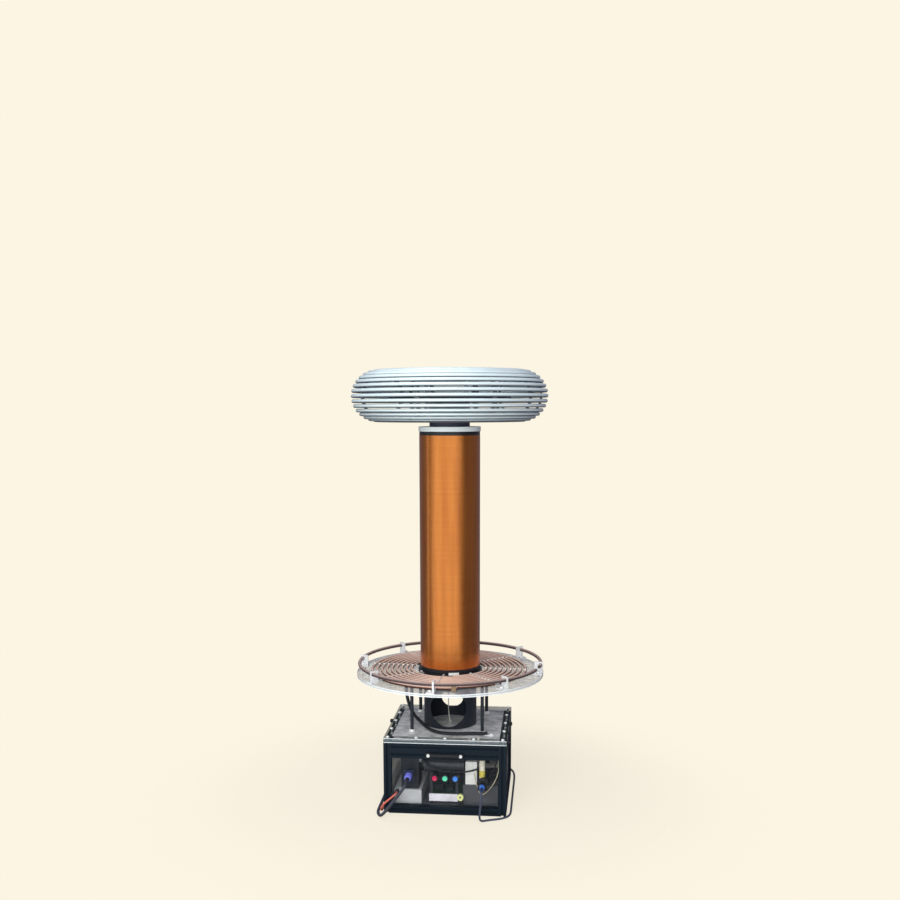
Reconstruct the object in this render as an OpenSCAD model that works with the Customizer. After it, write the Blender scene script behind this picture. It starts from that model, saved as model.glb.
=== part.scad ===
// Resonant transformer for demonstrations: a slotted-profile case with the power electronics,
// a flat spiral primary on a clear disc, a tall single-layer secondary and a cage top load.
// Millimetres, +Z up, the origin on the floor under the coils' axis, the front towards -Y.

/* [Case] */
// Outer width and depth of the case
case_w = 320; // [310:5:380]
// Height of the case frame, without its top plate
case_h = 190; // [185:5:230]
// Width of one slotted profile
profile_w = 20; // [20:0.5:22]
// Width of a profile slot's mouth
slot_mouth = 6; // [5.6:0.1:6.4]
// Depth of a profile slot
slot_depth = 6; // [5.8:0.1:6.2]
// Width of a profile slot behind its lips
slot_inner_w = 11; // [10:0.2:11.4]
// Thickness of a profile slot's lips
slot_lip = 2; // [1.6:0.1:2.2]
// Height of the straight part of a slot behind its lips
slot_straight = 1.6; // [1.2:0.1:1.8]
// Width of a slot's floor
slot_floor_w = 5; // [4:0.2:6]
// Core bore of a profile
core_bore = 5.2; // [5:0.1:5.4]
// Thickness of the clear panels that slide in the slots
panel_t = 5; // [4:0.1:5.2]
// Gap between a panel's edge and the slot's floor
panel_gap = 0.3; // [0.2:0.1:0.6]
// Thickness of the base plate
base_t = 4; // [3:0.5:5]
// Thickness of the clear top plate
top_t = 12; // [8:1:15]
// Spaces between the bolts along each edge of the top plate
edge_spans = 4; // [2:2:6]
// Thread diameter of the bright bolts
bolt_d = 5; // [4:0.5:5]
// Diameter of a bolt's round head
bolt_head_d = 9.5; // [8:0.5:11]
// Height of a bolt's round head
bolt_head_h = 2.8; // [2:0.2:4]
// Width of a slot nut
nut_w = 10; // [9:0.5:10.5]
// Thickness of a slot nut
nut_t = 1.5; // [1.2:0.1:1.5]

/* [Handle and buffers] */
// Distance between the handle's bolts
handle_pitch = 84; // [70:1:110]
// Width and height of a handle foot
handle_foot = 14; // [12:0.5:17]
// Thickness of a handle foot
handle_foot_t = 6; // [4:0.5:8]
// Diameter of the handle's grip
grip_d = 11; // [8:0.5:14]
// Distance from the rail to the grip's axis
grip_reach = 17; // [15:0.5:26]
// Height of the grip's axis above the handle's bolts
grip_rise = 4; // [0:0.5:6]
// Diameter of a rubber side buffer
buffer_d = 11; // [8:0.5:12]
// Length of a rubber side buffer
buffer_l = 8; // [5:0.5:12]

/* [Push-buttons] */
// Distance from button to button
button_pitch = 27; // [24:0.5:32]
// Height of the buttons above the floor
button_z = 96; // [90:1:104]
// Diameter of a button's bezel
bezel_d = 20; // [18:0.5:22]
// Height of a bezel above the panel
bezel_h = 2.5; // [1.5:0.25:4]
// Diameter of a button's threaded barrel
barrel_d = 16; // [15:0.25:16.5]
// Length of a barrel behind the panel
barrel_l = 24; // [18:1:30]
// Diameter of a coloured button
button_d = 13.4; // [11:0.1:13.8]
// Length of a coloured button
button_l = 10; // [8:0.5:12]
// Height of a button above its bezel
button_out = 2.5; // [2.2:0.1:4]
// Travel of a button
button_travel = 2; // [1:0.25:2]
// Gap between a button and its bore, on each side
button_gap = 0.2; // [0.1:0.05:0.3]
// Width across the flats of a button's nut
button_nut_w = 19; // [18:0.5:22]
// Thickness of a button's nut
button_nut_t = 3; // [2:0.5:4]

/* [Connectors] */
// Sideways place of the mains inlet
mains_x = -95; // [-100:1:-85]
// Height of the mains inlet
mains_z = 100; // [96:1:106]
// Width of an inlet's flange
inlet_w = 26; // [24:1:30]
// Height of an inlet's flange
inlet_h = 31; // [28:1:34]
// Thickness of an inlet's flange
inlet_t = 2.5; // [2:0.5:3]
// Diameter of an inlet's barrel behind the panel
inlet_d = 22; // [20:0.5:23]
// Length of an inlet's barrel behind the panel
inlet_l = 20; // [16:1:24]
// Diameter of the mains cord's plug-in connector
mains_conn_d = 19; // [17:0.5:21]
// Sideways place of the control inlet
control_x = 98; // [92:1:104]
// Height of the control inlet
control_z = 82; // [78:1:92]
// Diameter of the control cord's plug-in connector
control_conn_d = 15; // [13:0.5:17]
// Distance from the corner post to the middle of the red lead's grommet
lead_in = 14; // [12:1:18]
// Height of the red lead's grommet
lead_z = 56; // [50:1:62]
// Diameter of the red lead's grommet
grommet_d = 11; // [9:0.5:12]

/* [Cords] */
// Diameter of the mains cord
mains_cord_d = 8; // [7:0.5:8]
// Turns in the mains cord's coil
mains_turns = 4.25; // [3.25:1:5.25]
// Diameter of the control cord
control_cord_d = 5.5; // [4.5:0.5:5.5]
// Turns in the control cord's coil
control_turns = 7; // [5:1:7]
// Diameter of the red lead
red_lead_d = 5; // [4:0.5:5]
// Turns in the red lead's coil
red_turns = 5; // [3:1:5]
// Gap between one turn of a coil and the next
turn_gap = 0.7; // [0.6:0.1:1]

/* [Electronics] */
// Size of the switched supply's case
supply = [72, 150, 38]; // [36:1:150]
// Size of the mains filter
filter = [46, 70, 86]; // [40:1:90]
// Diameter of the bus capacitor
bus_cap_d = 42; // [36:1:46]
// Height of the bus capacitor's axis
bus_cap_z = 117; // [112:1:120]
// Size of the heatsink
heatsink = [92, 110, 54]; // [50:1:110]
// Size of the white resonant capacitor
tank_cap = [30, 44, 62]; // [30:1:62]
// Diameter of the white capacitor can
can_d = 16; // [14:0.5:18]
// Height of the white capacitor can
can_h = 66; // [55:1:70]
// Depth of the driver board
board_l = 90; // [70:1:110]
// Thickness of the driver board
board_t = 1.6; // [1:0.2:2.4]
// Width of the fan's frame
fan_w = 80; // [60:10:80]
// Depth of the fan's frame
fan_t = 25; // [20:5:25]
// Diameter of the fan's hub
fan_hub_d = 32; // [28:1:36]
// Diameter of the fan's shaft
fan_shaft_d = 3; // [2:0.5:4]
// Number of fan blades
fan_blades = 7; // [5:1:9]

/* [Stand] */
// Diameter of the black stand pipe
pipe_d = 142; // [120:1:150]
// Wall of the stand pipe
pipe_wall = 4; // [3:0.5:6]
// Height from the top plate to the primary plate
stand_h = 137; // [125:1:150]
// Diameter of the pipe's front window
front_window_d = 96; // [80:1:100]
// Diameter of the pipe's back window
back_window_d = 60; // [40:1:90]
// Height of both windows' centre above the top plate
window_z = 54; // [52:1:62]
// Distance of a pillar from the axis, along X and along Y
pillar_at = 93; // [88:1:100]
// Diameter of a pillar
pillar_d = 9; // [8:0.5:12]
// Diameter of the thick feed cable
feed_d = 9; // [7:0.5:9]
// Diameter of the earth wire
earth_d = 2.6; // [2:0.2:3]

/* [Primary] */
// Diameter of the clear primary plate
plate_d = 502; // [490:2:560]
// Thickness of the primary plate
plate_t = 8; // [6:1:12]
// Diameter of the primary's copper tube
tube_d = 8; // [6:0.5:8.5]
// Radius of the primary's inner end, to the middle of the tube
primary_r = 95; // [93:1:98]
// Distance from turn to turn
primary_pitch = 13.2; // [12:0.1:14]
// Least room between the combs and the strike ring's brackets
comb_room = 6; // [5:0.5:12]
// Height of the tube's middle above the primary plate
primary_rise = 5.5; // [5.5:0.1:8]
// Number of combs under the primary
comb_count = 8; // [4:4:8]
// Thickness of a comb
comb_t = 6; // [4:0.5:6]
// Gap between the tube and its notch
notch_gap = 0.6; // [0.6:0.1:0.8]
// Turn of the first comb from the front, towards -X
comb_lead = 5; // [0:1:10]
// Width of a white tie strip
tie_w = 4; // [3:0.5:6]
// Thickness of a white tie strip
tie_t = 2; // [1:0.5:3]

/* [Strike ring] */
// Distance from the plate's rim to the middle of the strike ring's tube
strike_inset = 7; // [7:0.5:10]
// Diameter of the strike ring's tube
strike_d = 9; // [6:0.5:10]
// Height of the strike ring's middle above the primary plate
strike_rise = 24; // [18:1:40]
// Angle that the strike ring leaves open
strike_open = 8; // [5:1:12]
// Angle from the front to the open place's near end
strike_from = 72; // [68:1:76]
// Thickness of a strike ring bracket
bracket_t = 5; // [4:0.5:8]
// Radial width of a strike ring bracket
bracket_w = 22; // [20:1:26]

/* [Secondary] */
// Outer diameter of the winding
winding_d = 160; // [150:1:164]
// Thickness of the single layer of wire
wire_d = 0.4; // [0.3:0.1:0.6]
// Length of the winding
winding_l = 613; // [400:1:700]
// Bare former below the winding
bare_below = 19; // [12:1:30]
// Bare former above the winding
bare_above = 10; // [6:1:20]
// Wall of the former
former_wall = 4; // [3:0.5:6]
// Diameter of the foot ring's flange
foot_d = 172; // [168:1:172]
// Height of the foot ring's flange
foot_h = 6; // [4:0.5:8]
// Diameter of the white end cap
cap_d = 163; // [162:1:176]
// Thickness of the white end cap
cap_t = 12; // [8:1:16]

/* [Top load] */
// Diameter of the collar under the top load
collar_d = 106; // [96:1:116]
// Height of the collar
collar_h = 68; // [60:1:80]
// Wall of the collar
collar_wall = 5; // [4:0.5:8]
// Diameter of the dark disc
disc_d = 320; // [300:2:330]
// Thickness of the dark disc
disc_t = 10; // [8:1:12]
// Radius from the axis to the middle of the cage's round section
cage_r = 190; // [186:1:200]
// Radius of the circle that the cage rings lie on
ring_orbit = 62; // [60:0.5:66]
// Diameter of a cage ring's tube
ring_d = 9.5; // [7:0.5:10]
// Angle from one cage ring to the next
ring_step = 12.2; // [12:0.2:15]
// Cage rings on each side of the outermost one
ring_side = 10; // [6:1:10]
// Number of hoops that carry the cage rings
hoop_count = 8; // [4:1:12]
// Turn of the first hoop from the front, towards -X
hoop_lead = 13; // [0:1:20]
// Width of a hoop
hoop_w = 10; // [8:0.5:14]
// Thickness of a hoop
hoop_t = 4; // [3:0.5:5]
// Distance of the disc's bolts from the axis
disc_bolt_r = 38; // [30:1:40]

/* [Hidden] */
$fn = 48;

// Small allowances that every fitted pair uses
cut = 1;          // how far a cutting shape runs past a face
screw_gap = 0.25; // radial gap round a screw in its hole
seat_gap = 0.1;   // gap between a piece and the recess it seats in
joint = 0.5;      // how far two shapes of one piece run into each other

// The case
half_w = case_w / 2;
post_at = half_w - profile_w / 2;
inner_half = half_w - profile_w;
rail_l = case_w - 2 * profile_w;
rail_h = 2 * profile_w;
rail_z = case_h - rail_h;
edge_in = slot_depth - panel_gap;
panel_top = rail_z + edge_in;
panel_bottom = profile_w - edge_in;
panel_front = -post_at - panel_t / 2;
panel_back = -post_at + panel_t / 2;
floor_z = profile_w / 2 + base_t / 2;
deck_z = case_h + top_t;
bolt_pitch = 2 * post_at / edge_spans;
edge_bolts = [for (i = [0 : edge_spans]) i * bolt_pitch - post_at];
thread_l = 12;
slot_clear = 1;   // distance from a bolt's end to the slot's floor
corner_bolt_l = top_t + thread_l;
slot_bolt_l = top_t + slot_depth - slot_clear;
slot_nut_z = case_h - slot_lip - nut_t;
handle_z = rail_z + profile_w / 2;
disc_bolt_angles = [45 : 90 : 315];

// Places of the side buffers: side of the case, then distance along Y
buffer_pitch = 80;
buffer_front = 15 - half_w;
buffer_third = buffer_front + 2 * buffer_pitch;
buffer_places = [
  [1, buffer_front], [1, buffer_front + buffer_pitch], [1, buffer_third], [-1, buffer_third]
];

// The heights of the stack above the case
plate_z = deck_z + stand_h;
plate_top = plate_z + plate_t;
primary_z = plate_top + primary_rise;
strike_z = plate_top + strike_rise;
winding_z = plate_top + bare_below;
former_h = bare_below + winding_l + bare_above;
cap_z = plate_top + former_h;
collar_z = cap_z + cap_t;
disc_z = collar_z + collar_h;
cage_rise = 11;
cage_z = disc_z + cage_rise;
winding_in_d = winding_d - 2 * wire_d;

// ---- Helpers ----

// A piece repeated at an angle counted from the front towards +X
module at_azimuth(a) rotate([0, 0, a - 90]) children();

// A cylinder along Y from y0 to y1
module y_rod(d, y0, y1) translate([0, y1, 0]) rotate([90, 0, 0]) cylinder(d = d, h = y1 - y0);

// A cylinder along X, centred
module x_rod(d, l) rotate([0, 90, 0]) cylinder(d = d, h = l, center = true);

function unit(v) = v / norm(v);
function tangent(p, i) = unit(p[min(i + 1, len(p) - 1)] - p[max(i - 1, 0)]);
function across(n, t) = unit(n - (n * t) * t);
function side_start(t) = across(abs(t[2]) < 0.8 ? [0, 0, 1] : [0, 1, 0], t);
// Normals carried along the path without twist
function normals(p) = [
  for (i = 0, n = side_start(tangent(p, 0)); i < len(p);
       i = i + 1, n = i < len(p) ? across(n, tangent(p, i)) : n) n
];
function ring_points(c, t, n, r, sides) = [
  for (k = [0 : sides - 1]) let (a = 360 * k / sides)
    c + r * (cos(a) * n + sin(a) * cross(t, n))
];

// A round tube swept along a list of points, as one closed polyhedron
module swept_tube(path, d, sides) {
  n = normals(path);
  count = len(path);
  points = [
    for (i = [0 : count - 1]) each ring_points(path[i], tangent(path, i), n[i], d / 2, sides)
  ];
  walls = [
    for (i = [0 : count - 2], k = [0 : sides - 1])
      let (a = i * sides + k, b = i * sides + (k + 1) % sides)
        each [[a, a + sides, b], [b, a + sides, b + sides]]
  ];
  first = [for (k = [1 : sides - 2]) [0, k, k + 1]];
  last_ring = (count - 1) * sides;
  last = [for (k = [1 : sides - 2]) [last_ring, last_ring + k + 1, last_ring + k]];
  polyhedron(points, concat(walls, first, last));
}

function path_length(p) = len(p) < 2 ? 0 : [for (i = 1, s = norm(p[1] - p[0]); i < len(p);
  i = i + 1, s = i < len(p) ? s + norm(p[i] - p[i - 1]) : s) s][len(p) - 2];

loop_rings = 24;
loop_sides = 6;
tail_steps = 4;
tail_lift = 1.34; // the tail reaches its full height at three quarters of its length

// A flat spiral: angle from the front towards +X, then the radius grows with each turn
function spiral_angle(i, from) = from + 360 * i / loop_rings - 90;
function spiral_path(from, r0, pitch, turns, z) = [
  for (i = [0 : turns * loop_rings])
    let (a = spiral_angle(i, from), r = r0 + pitch * i / loop_rings)
      [r * cos(a), r * sin(a), z]
];

// A two-layer coil: in along the floor, up a layer at the middle, and out again on top
function ease(x) = let (t = min(max(x, 0), 1)) t * t * (3 - 2 * t);
function coil_point(c, r_mid, d, turns, t, dir, from) =
  let (step = d + turn_gap, r_in = r_mid - step * turns / 4,
       r = r_in + step * abs(t - turns / 2),
       a = from + dir * 360 * t,
       z = d / 2 + step * ease((t - turns / 2) * 2 + 0.5))
    [c[0] + r * cos(a), c[1] + r * sin(a), z];
function coil_heading(from, turns, dir) =
  let (a = from + dir * 360 * turns + dir * 90) [cos(a), sin(a), 0];
function coil_path(c, r_mid, d, turns, dir, from, tail, end_z) =
  let (count = turns * loop_rings,
       loops = [for (i = [0 : count]) coil_point(c, r_mid, d, turns, i / loop_rings, dir, from)],
       tip = loops[count], heading = coil_heading(from, turns, dir), rise = end_z - tip[2])
    concat(loops, [
      for (s = [1 : tail_steps]) let (t = s / tail_steps)
        tip + heading * tail * t + [0, 0, rise * ease(t * tail_lift)]
    ]);

// Least gap between points of a path that lie a third of a turn or more apart
function least_gap(p, d) = min([
  for (i = [0 : 2 : len(p) - 1])
    let (q = [for (k = [i + loop_rings / 3 : len(p) - 1]) norm(p[k] - p[i])])
      if (len(q) > 0) min(q)
]) - d;

// ---- Case ----

// Slot section with its mouth at x = 0, opening towards +X
module slot_2d() {
  m = slot_mouth / 2;
  w = slot_inner_w / 2;
  f = slot_floor_w / 2;
  lip = -slot_lip;
  flat = -slot_lip - slot_straight;
  polygon([
    [cut, m], [lip, m], [lip, w], [flat, w], [-slot_depth, f],
    [-slot_depth, -f], [flat, -w], [lip, -w], [lip, -m], [cut, -m]
  ]);
}

// Section of a slotted profile of one or more modules, standing on y = 0
module profile_2d(modules) difference() {
  translate([-profile_w / 2, 0]) square([profile_w, modules * profile_w]);
  for (i = [0 : modules - 1], s = [0, 180])
    translate([0, (i + 0.5) * profile_w]) rotate(s) translate([profile_w / 2, 0]) slot_2d();
  rotate(-90) slot_2d();
  translate([0, modules * profile_w]) rotate(90) slot_2d();
  for (i = [0 : modules - 1]) translate([0, (i + 0.5) * profile_w]) circle(d = core_bore);
}

module rails(modules, z) for (a = [0 : 90 : 270])
  rotate(a) translate([-rail_l / 2, -post_at, z]) rotate([90, 0, 90])
    linear_extrude(rail_l) profile_2d(modules);

module corner_posts() color("#23272b")
  for (x = [-1, 1], y = [-1, 1]) translate([x * post_at, y * post_at - profile_w / 2, 0])
    linear_extrude(case_h) profile_2d(1);

module top_rails() color("#23272b") rails(2, rail_z);

module bottom_rails() color("#23272b") rails(1, 0);

module base_plate() color("#3a3f44") {
  reach = 2 * (inner_half + edge_in);
  clear = 2 * (inner_half - panel_gap);
  translate([0, 0, floor_z - base_t]) linear_extrude(base_t) {
    square([reach, clear], center = true);
    square([clear, reach], center = true);
  }
}

// A clear panel in the slots on one side, with its outer face towards -Y
module panel_blank() {
  reach = 2 * (inner_half + edge_in);
  translate([-reach / 2, panel_front, panel_bottom]) cube([reach, panel_t, panel_top - panel_bottom]);
}

module panel_hole(x, z, d)
  translate([x, 0, z]) y_rod(d + 2 * screw_gap, panel_front - cut, panel_back + cut);

module front_panel() color("#dfe9ec", 0.3) difference() {
  panel_blank();
  for (i = [-1 : 1]) panel_hole(i * button_pitch, button_z, barrel_d);
  panel_hole(mains_x, mains_z, inlet_d);
  panel_hole(control_x, control_z, inlet_d);
  panel_hole(lead_x, lead_z, grommet_neck_d);
}

module side_panels() color("#dfe9ec", 0.3) for (a = [90, -90]) rotate(a) panel_blank();

fan_x = 60;
fan_z = 86;
fan_overlap = 3;      // the panel's edge over the fan's frame
fan_hole_d = fan_w - 2 * fan_overlap;

module back_panel() color("#dfe9ec", 0.3) rotate(180) difference() {
  panel_blank();
  panel_hole(-fan_x, fan_z, fan_hole_d);
}

module top_plate() color("#e4eef2", 0.3) difference() {
  translate([-half_w, -half_w, case_h]) cube([case_w, case_w, top_t]);
  for (p = top_bolt_places()) translate([p[0], p[1], case_h - cut])
    cylinder(d = bolt_d + 2 * screw_gap, h = top_t + 2 * cut);
  for (p = concat(deck_bolt_places, pillar_places())) translate([p[0], p[1], case_h - cut])
    cylinder(d = bolt_d + 2 * screw_gap, h = top_t + 2 * cut);
}

function top_bolt_places() = [
  for (x = edge_bolts, y = edge_bolts) if (max(abs(x), abs(y)) > post_at - bolt_d) [x, y]
];
function is_corner(p) = abs(p[0]) == abs(p[1]);
function pillar_places() = [for (x = [-1, 1], y = [-1, 1]) [x * pillar_at, y * pillar_at]];

// The earth bolt at the middle and the feed cable's terminal bolt
feed_bolt = [118, -112];
deck_bolt_places = [[0, 0], feed_bolt];
lug_t = 2;

head_crown = 0.72;   // crown of a bolt's head against its rim
hex_socket_d = 3;    // hexagon socket in a bolt's head

// A round-headed bolt with its head on z = 0
module bolt(l) {
  translate([0, 0, -l]) cylinder(d = bolt_d, h = l);
  difference() {
    cylinder(d1 = bolt_head_d, d2 = bolt_head_d * head_crown, h = bolt_head_h);
    translate([0, 0, bolt_head_h / 3]) cylinder(d = hex_socket_d, h = bolt_head_h, $fn = 6);
  }
}

module slot_nut() difference() {
  translate([-nut_w / 2, -nut_w / 2, 0]) cube([nut_w, nut_w, nut_t]);
  translate([0, 0, -cut]) cylinder(d = bolt_d + screw_gap, h = nut_t + 2 * cut);
}

module bright_bolts() color("#d8dade") {
  for (p = top_bolt_places()) translate([p[0], p[1], deck_z])
    bolt(is_corner(p) ? corner_bolt_l : slot_bolt_l);
  for (p = top_bolt_places()) if (!is_corner(p)) translate([p[0], p[1], slot_nut_z]) slot_nut();
  for (p = deck_bolt_places) translate([p[0], p[1], deck_z + lug_t]) bolt(top_t + lug_t);
  for (x = [-1, 1]) translate([x * handle_pitch / 2, -half_w - handle_foot_t, handle_z])
    rotate([90, 0, 0]) bolt(handle_foot_t + slot_depth - slot_clear);
  for (a = disc_bolt_angles) rotate(a) translate([disc_bolt_r, 0, disc_z + disc_t])
    bolt(disc_t + collar_wall);
}

// Two square feet on the rail, each with a leg, and a round grip between the legs
module carry_handle() color("#15171a") {
  grip_z = handle_z + grip_rise;
  leg = grip_d * 0.9;
  leg_in = handle_pitch / 2 - handle_foot / 2 - leg + joint;
  for (s = [-1, 1]) difference() {
    union() {
      translate([s * handle_pitch / 2 - handle_foot / 2, -half_w - handle_foot_t, handle_z - handle_foot / 2])
        cube([handle_foot, handle_foot_t, handle_foot]);
      translate([s > 0 ? leg_in : -leg_in - leg, -half_w - grip_reach, grip_z - grip_d / 2])
        cube([leg, grip_reach, grip_d]);
    }
    translate([s * handle_pitch / 2, 0, handle_z])
      y_rod(bolt_d + 2 * screw_gap, -half_w - handle_foot_t - cut, -half_w + cut);
  }
  translate([0, -half_w - grip_reach, grip_z]) x_rod(grip_d, 2 * (leg_in + leg));
}

buffer_chamfer = 2;

module side_buffers() color("#101113") for (p = buffer_places)
  translate([p[0] * half_w, p[1], case_h + top_t / 2]) rotate([0, p[0] * 90, 0]) {
    cylinder(d = buffer_d, h = buffer_l - buffer_chamfer);
    translate([0, 0, buffer_l - buffer_chamfer])
      cylinder(d1 = buffer_d, d2 = buffer_d - 2 * buffer_chamfer, h = buffer_chamfer);
  }

// ---- Push-buttons ----

button_end_gap = 1;
button_bevel = 1;
button_bore_l = button_l - button_out + button_travel + button_end_gap;

// Bezel and barrel in one piece, with its nut behind the panel
module button_housings() color("#16181b") for (i = [-1 : 1])
  translate([i * button_pitch, 0, button_z]) {
    difference() {
      union() {
        y_rod(bezel_d, panel_front - bezel_h, panel_front);
        y_rod(barrel_d, panel_front - bezel_h, panel_back + barrel_l);
      }
      y_rod(button_d + 2 * button_gap, panel_front - bezel_h - cut, panel_front - bezel_h + button_bore_l);
    }
    difference() {
      translate([0, panel_back + button_nut_t, 0]) rotate([90, 0, 0])
        cylinder(d = button_nut_w / cos(30), h = button_nut_t, $fn = 6);
      y_rod(barrel_d + 2 * seat_gap, panel_back - cut, panel_back + button_nut_t + cut);
    }
  }

module push_button(i) translate([i * button_pitch, 0, button_z]) {
  face = panel_front - bezel_h - button_out;
  y_rod(button_d, face + button_bevel, face + button_l);
  translate([0, face + button_bevel, 0]) rotate([90, 0, 0])
    cylinder(d1 = button_d, d2 = button_d - 2 * button_bevel, h = button_bevel);
}

module red_button() color("#d4224e") push_button(-1);

module green_button() color("#1fb58a") push_button(0);

module blue_button() color("#3b74d6") push_button(1);

// ---- Connectors and cords ----

inlet_face = panel_front - inlet_t;

module inlet(x, z) translate([x, 0, z]) {
  translate([-inlet_w / 2, inlet_face, -inlet_h / 2]) cube([inlet_w, inlet_t, inlet_h]);
  y_rod(inlet_d, inlet_face, panel_back + inlet_l);
}

module mains_inlet() color("#1c2b55") inlet(mains_x, mains_z);

module control_inlet() color("#16181b") inlet(control_x, control_z);

straight_part = 0.55;  // share of a connector's body that doesn't taper
body_taper = 0.8;      // diameter at the body's end against its start
boot_root = 0.62;      // diameter of a boot's root against the body
boot_wall = 0.75;      // wall of a boot at its tip

// A cord's connector: body and tapered boot, from the inlet's face towards -Y
module cord_connector(x, z, d, body, boot, cord_d) translate([x, inlet_face, z]) rotate([90, 0, 0]) {
  cylinder(d = d, h = body * straight_part);
  translate([0, 0, body * straight_part])
    cylinder(d1 = d, d2 = d * body_taper, h = body * (1 - straight_part));
  translate([0, 0, body]) cylinder(d1 = d * boot_root, d2 = cord_d + 2 * boot_wall, h = boot);
}

mains_body_l = 24;
mains_boot_l = 22;
module mains_connector() color("#5d6fd8")
  cord_connector(mains_x, mains_z, mains_conn_d, mains_body_l, mains_boot_l, mains_cord_d);

control_body_l = 28;
control_boot_l = 20;
module control_connector() color("#3f66c4")
  cord_connector(control_x, control_z, control_conn_d, control_body_l, control_boot_l, control_cord_d);

lead_x = lead_in - inner_half;
grommet_neck_d = 8;
grommet_lip = 5;
grommet_back = 2;

module lead_grommet() color("#1a1a1c") translate([lead_x, 0, lead_z]) difference() {
  union() {
    y_rod(grommet_d, panel_front - grommet_lip, panel_front);
    y_rod(grommet_neck_d, panel_front, panel_back);
    y_rod(grommet_d, panel_back, panel_back + grommet_back);
  }
  y_rod(red_lead_d + 2 * seat_gap, panel_front - grommet_lip / 2, panel_back + grommet_back + cut);
}

// Where each free cord starts: the tip of its connector or grommet
mains_exit = [mains_x, inlet_face - mains_body_l - mains_boot_l, mains_z];
control_exit = [control_x, inlet_face - control_body_l - control_boot_l, control_z];
lead_exit = [lead_x, panel_front - grommet_lip, lead_z];

// Routes of the free stretches, chosen by hand: out of the exit, down to the floor, along the
// side of the case and to the coil behind it
mains_route = [
  mains_exit, mains_exit + [0, -8, 0], [-97, -218, 96], [-102, -223, 88], [-109, -224, 78],
  [-117, -223, 67], [-126, -221, 55], [-134, -218, 44], [-142, -215, 33], [-150, -211, 22],
  [-158, -204, 12], [-165, -194, 6], [-171, -180, 4], [-175, -163, 4], [-176, -140, 4],
  [-176, -100, 4], [-176, -50, 4],
  [-176, 0, 4], [-176, 50, 4], [-176, 100, 4], [-176, 140, 4], [-176, 170, 4],
  [-175, 195, 4], [-172, 220, 4], [-169, 245, 4], [-168, 265, 4]
];
control_route = [
  control_exit, control_exit + [0, -5, 0], [98, -214, 79], [98, -218, 72], [97.5, -219, 62],
  [97, -218.5, 50], [96, -217.5, 38], [95, -216, 27], [94.5, -214, 17], [96, -210, 9],
  [101, -204, 4], [109, -198, 3], [120, -193, 3], [133, -188, 3], [146, -182, 3],
  [157, -174, 3], [165, -163, 3], [169.5, -149, 3], [171, -130, 3], [171, -90, 3],
  [171, -40, 3], [171, 10, 3], [171, 60, 3],
  [171, 110, 3], [170, 145, 3], [166, 175, 3], [157, 200, 3], [146, 221, 3], [136, 241, 3],
  [132, 254, 3], [131, 268, 3]
];
lead_route = [
  lead_exit, lead_exit + [0, -5, 0], [-129, -169, 54], [-135, -172.5, 49.5], [-143, -174, 43],
  [-151, -174.5, 36], [-158, -173.5, 29], [-163.5, -170.5, 21], [-166.5, -165, 13],
  [-167, -157, 6.5], [-166.5, -147, 3.5], [-166, -130, 3], [-166, -100, 3], [-166, -50, 3],
  [-166, 0, 3], [-166, 50, 3], [-166, 100, 3], [-166, 135, 3], [-166, 150, 3],
  [-165.5, 160, 3], [-161, 167.5, 3], [-152, 171.5, 3], [-140, 172, 3], [-120, 171, 3],
  [-90, 171, 3], [-60, 172, 3], [-36, 177, 3], [-16, 187, 3], [4, 192, 3]
];

// Centres and mean radii of the stowed coils
mains_coil_at = [-110, 265];
mains_coil_r = 48;
control_coil_at = [90, 268];
control_coil_r = 30;
red_coil_at = [4, 228];
red_coil_r = 28.5;
mains_tail = 52;
control_tail = 34;
red_tail = 24;
mains_plug_r = 18;
control_plug_r = 9;
red_plug_r = 9.5;

mains_coil_path = coil_path(mains_coil_at, mains_coil_r, mains_cord_d, mains_turns, -1, 180,
  mains_tail, mains_plug_r);
control_coil_path = coil_path(control_coil_at, control_coil_r, control_cord_d, control_turns, 1, 0,
  control_tail, control_plug_r);
red_coil_path = coil_path(red_coil_at, red_coil_r, red_lead_d, red_turns, 1, 270,
  red_tail, red_plug_r);

module mains_cord() color("#4a4c55") swept_tube(mains_route, mains_cord_d, 8);

module control_cord() color("#6a7087") swept_tube(control_route, control_cord_d, 8);

module red_lead() color("#b23a44") swept_tube(lead_route, red_lead_d, 8);

module mains_coil() color("#4a4c55") swept_tube(mains_coil_path, mains_cord_d, loop_sides);

module control_coil() color("#6a7087") swept_tube(control_coil_path, control_cord_d, loop_sides);

module red_lead_coil() color("#b23a44") swept_tube(red_coil_path, red_lead_d, loop_sides);

// A piece placed on a coil path's last point, with +Z along the way the cord leaves
module at_tip(path, from, turns, dir) {
  translate(path[len(path) - 1]) rotate([0, 90, from + dir * 360 * turns + dir * 90]) children();
}

plug_boot_l = 14;
plug_cone_l = 8;
plug_body_l = 24;
plug_boot_d = 14;
plug_cone_d = 20;
pin_pitch = 19;
pin_d = 4.8;
pin_l = 19;

// Round mains plug with two pins
module mains_plug() color("#1b1b1d") at_tip(mains_coil_path, 180, mains_turns, -1) {
  cylinder(d1 = mains_cord_d + 2 * boot_wall, d2 = plug_boot_d, h = plug_boot_l);
  translate([0, 0, plug_boot_l]) cylinder(d1 = plug_cone_d, d2 = 2 * mains_plug_r, h = plug_cone_l);
  translate([0, 0, plug_boot_l + plug_cone_l]) cylinder(r = mains_plug_r, h = plug_body_l);
  for (s = [-1, 1]) translate([0, s * pin_pitch / 2, plug_boot_l + plug_cone_l + plug_body_l])
    cylinder(d = pin_d, h = pin_l);
}

control_boot_d = 10;
control_plug_l = 26;

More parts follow.
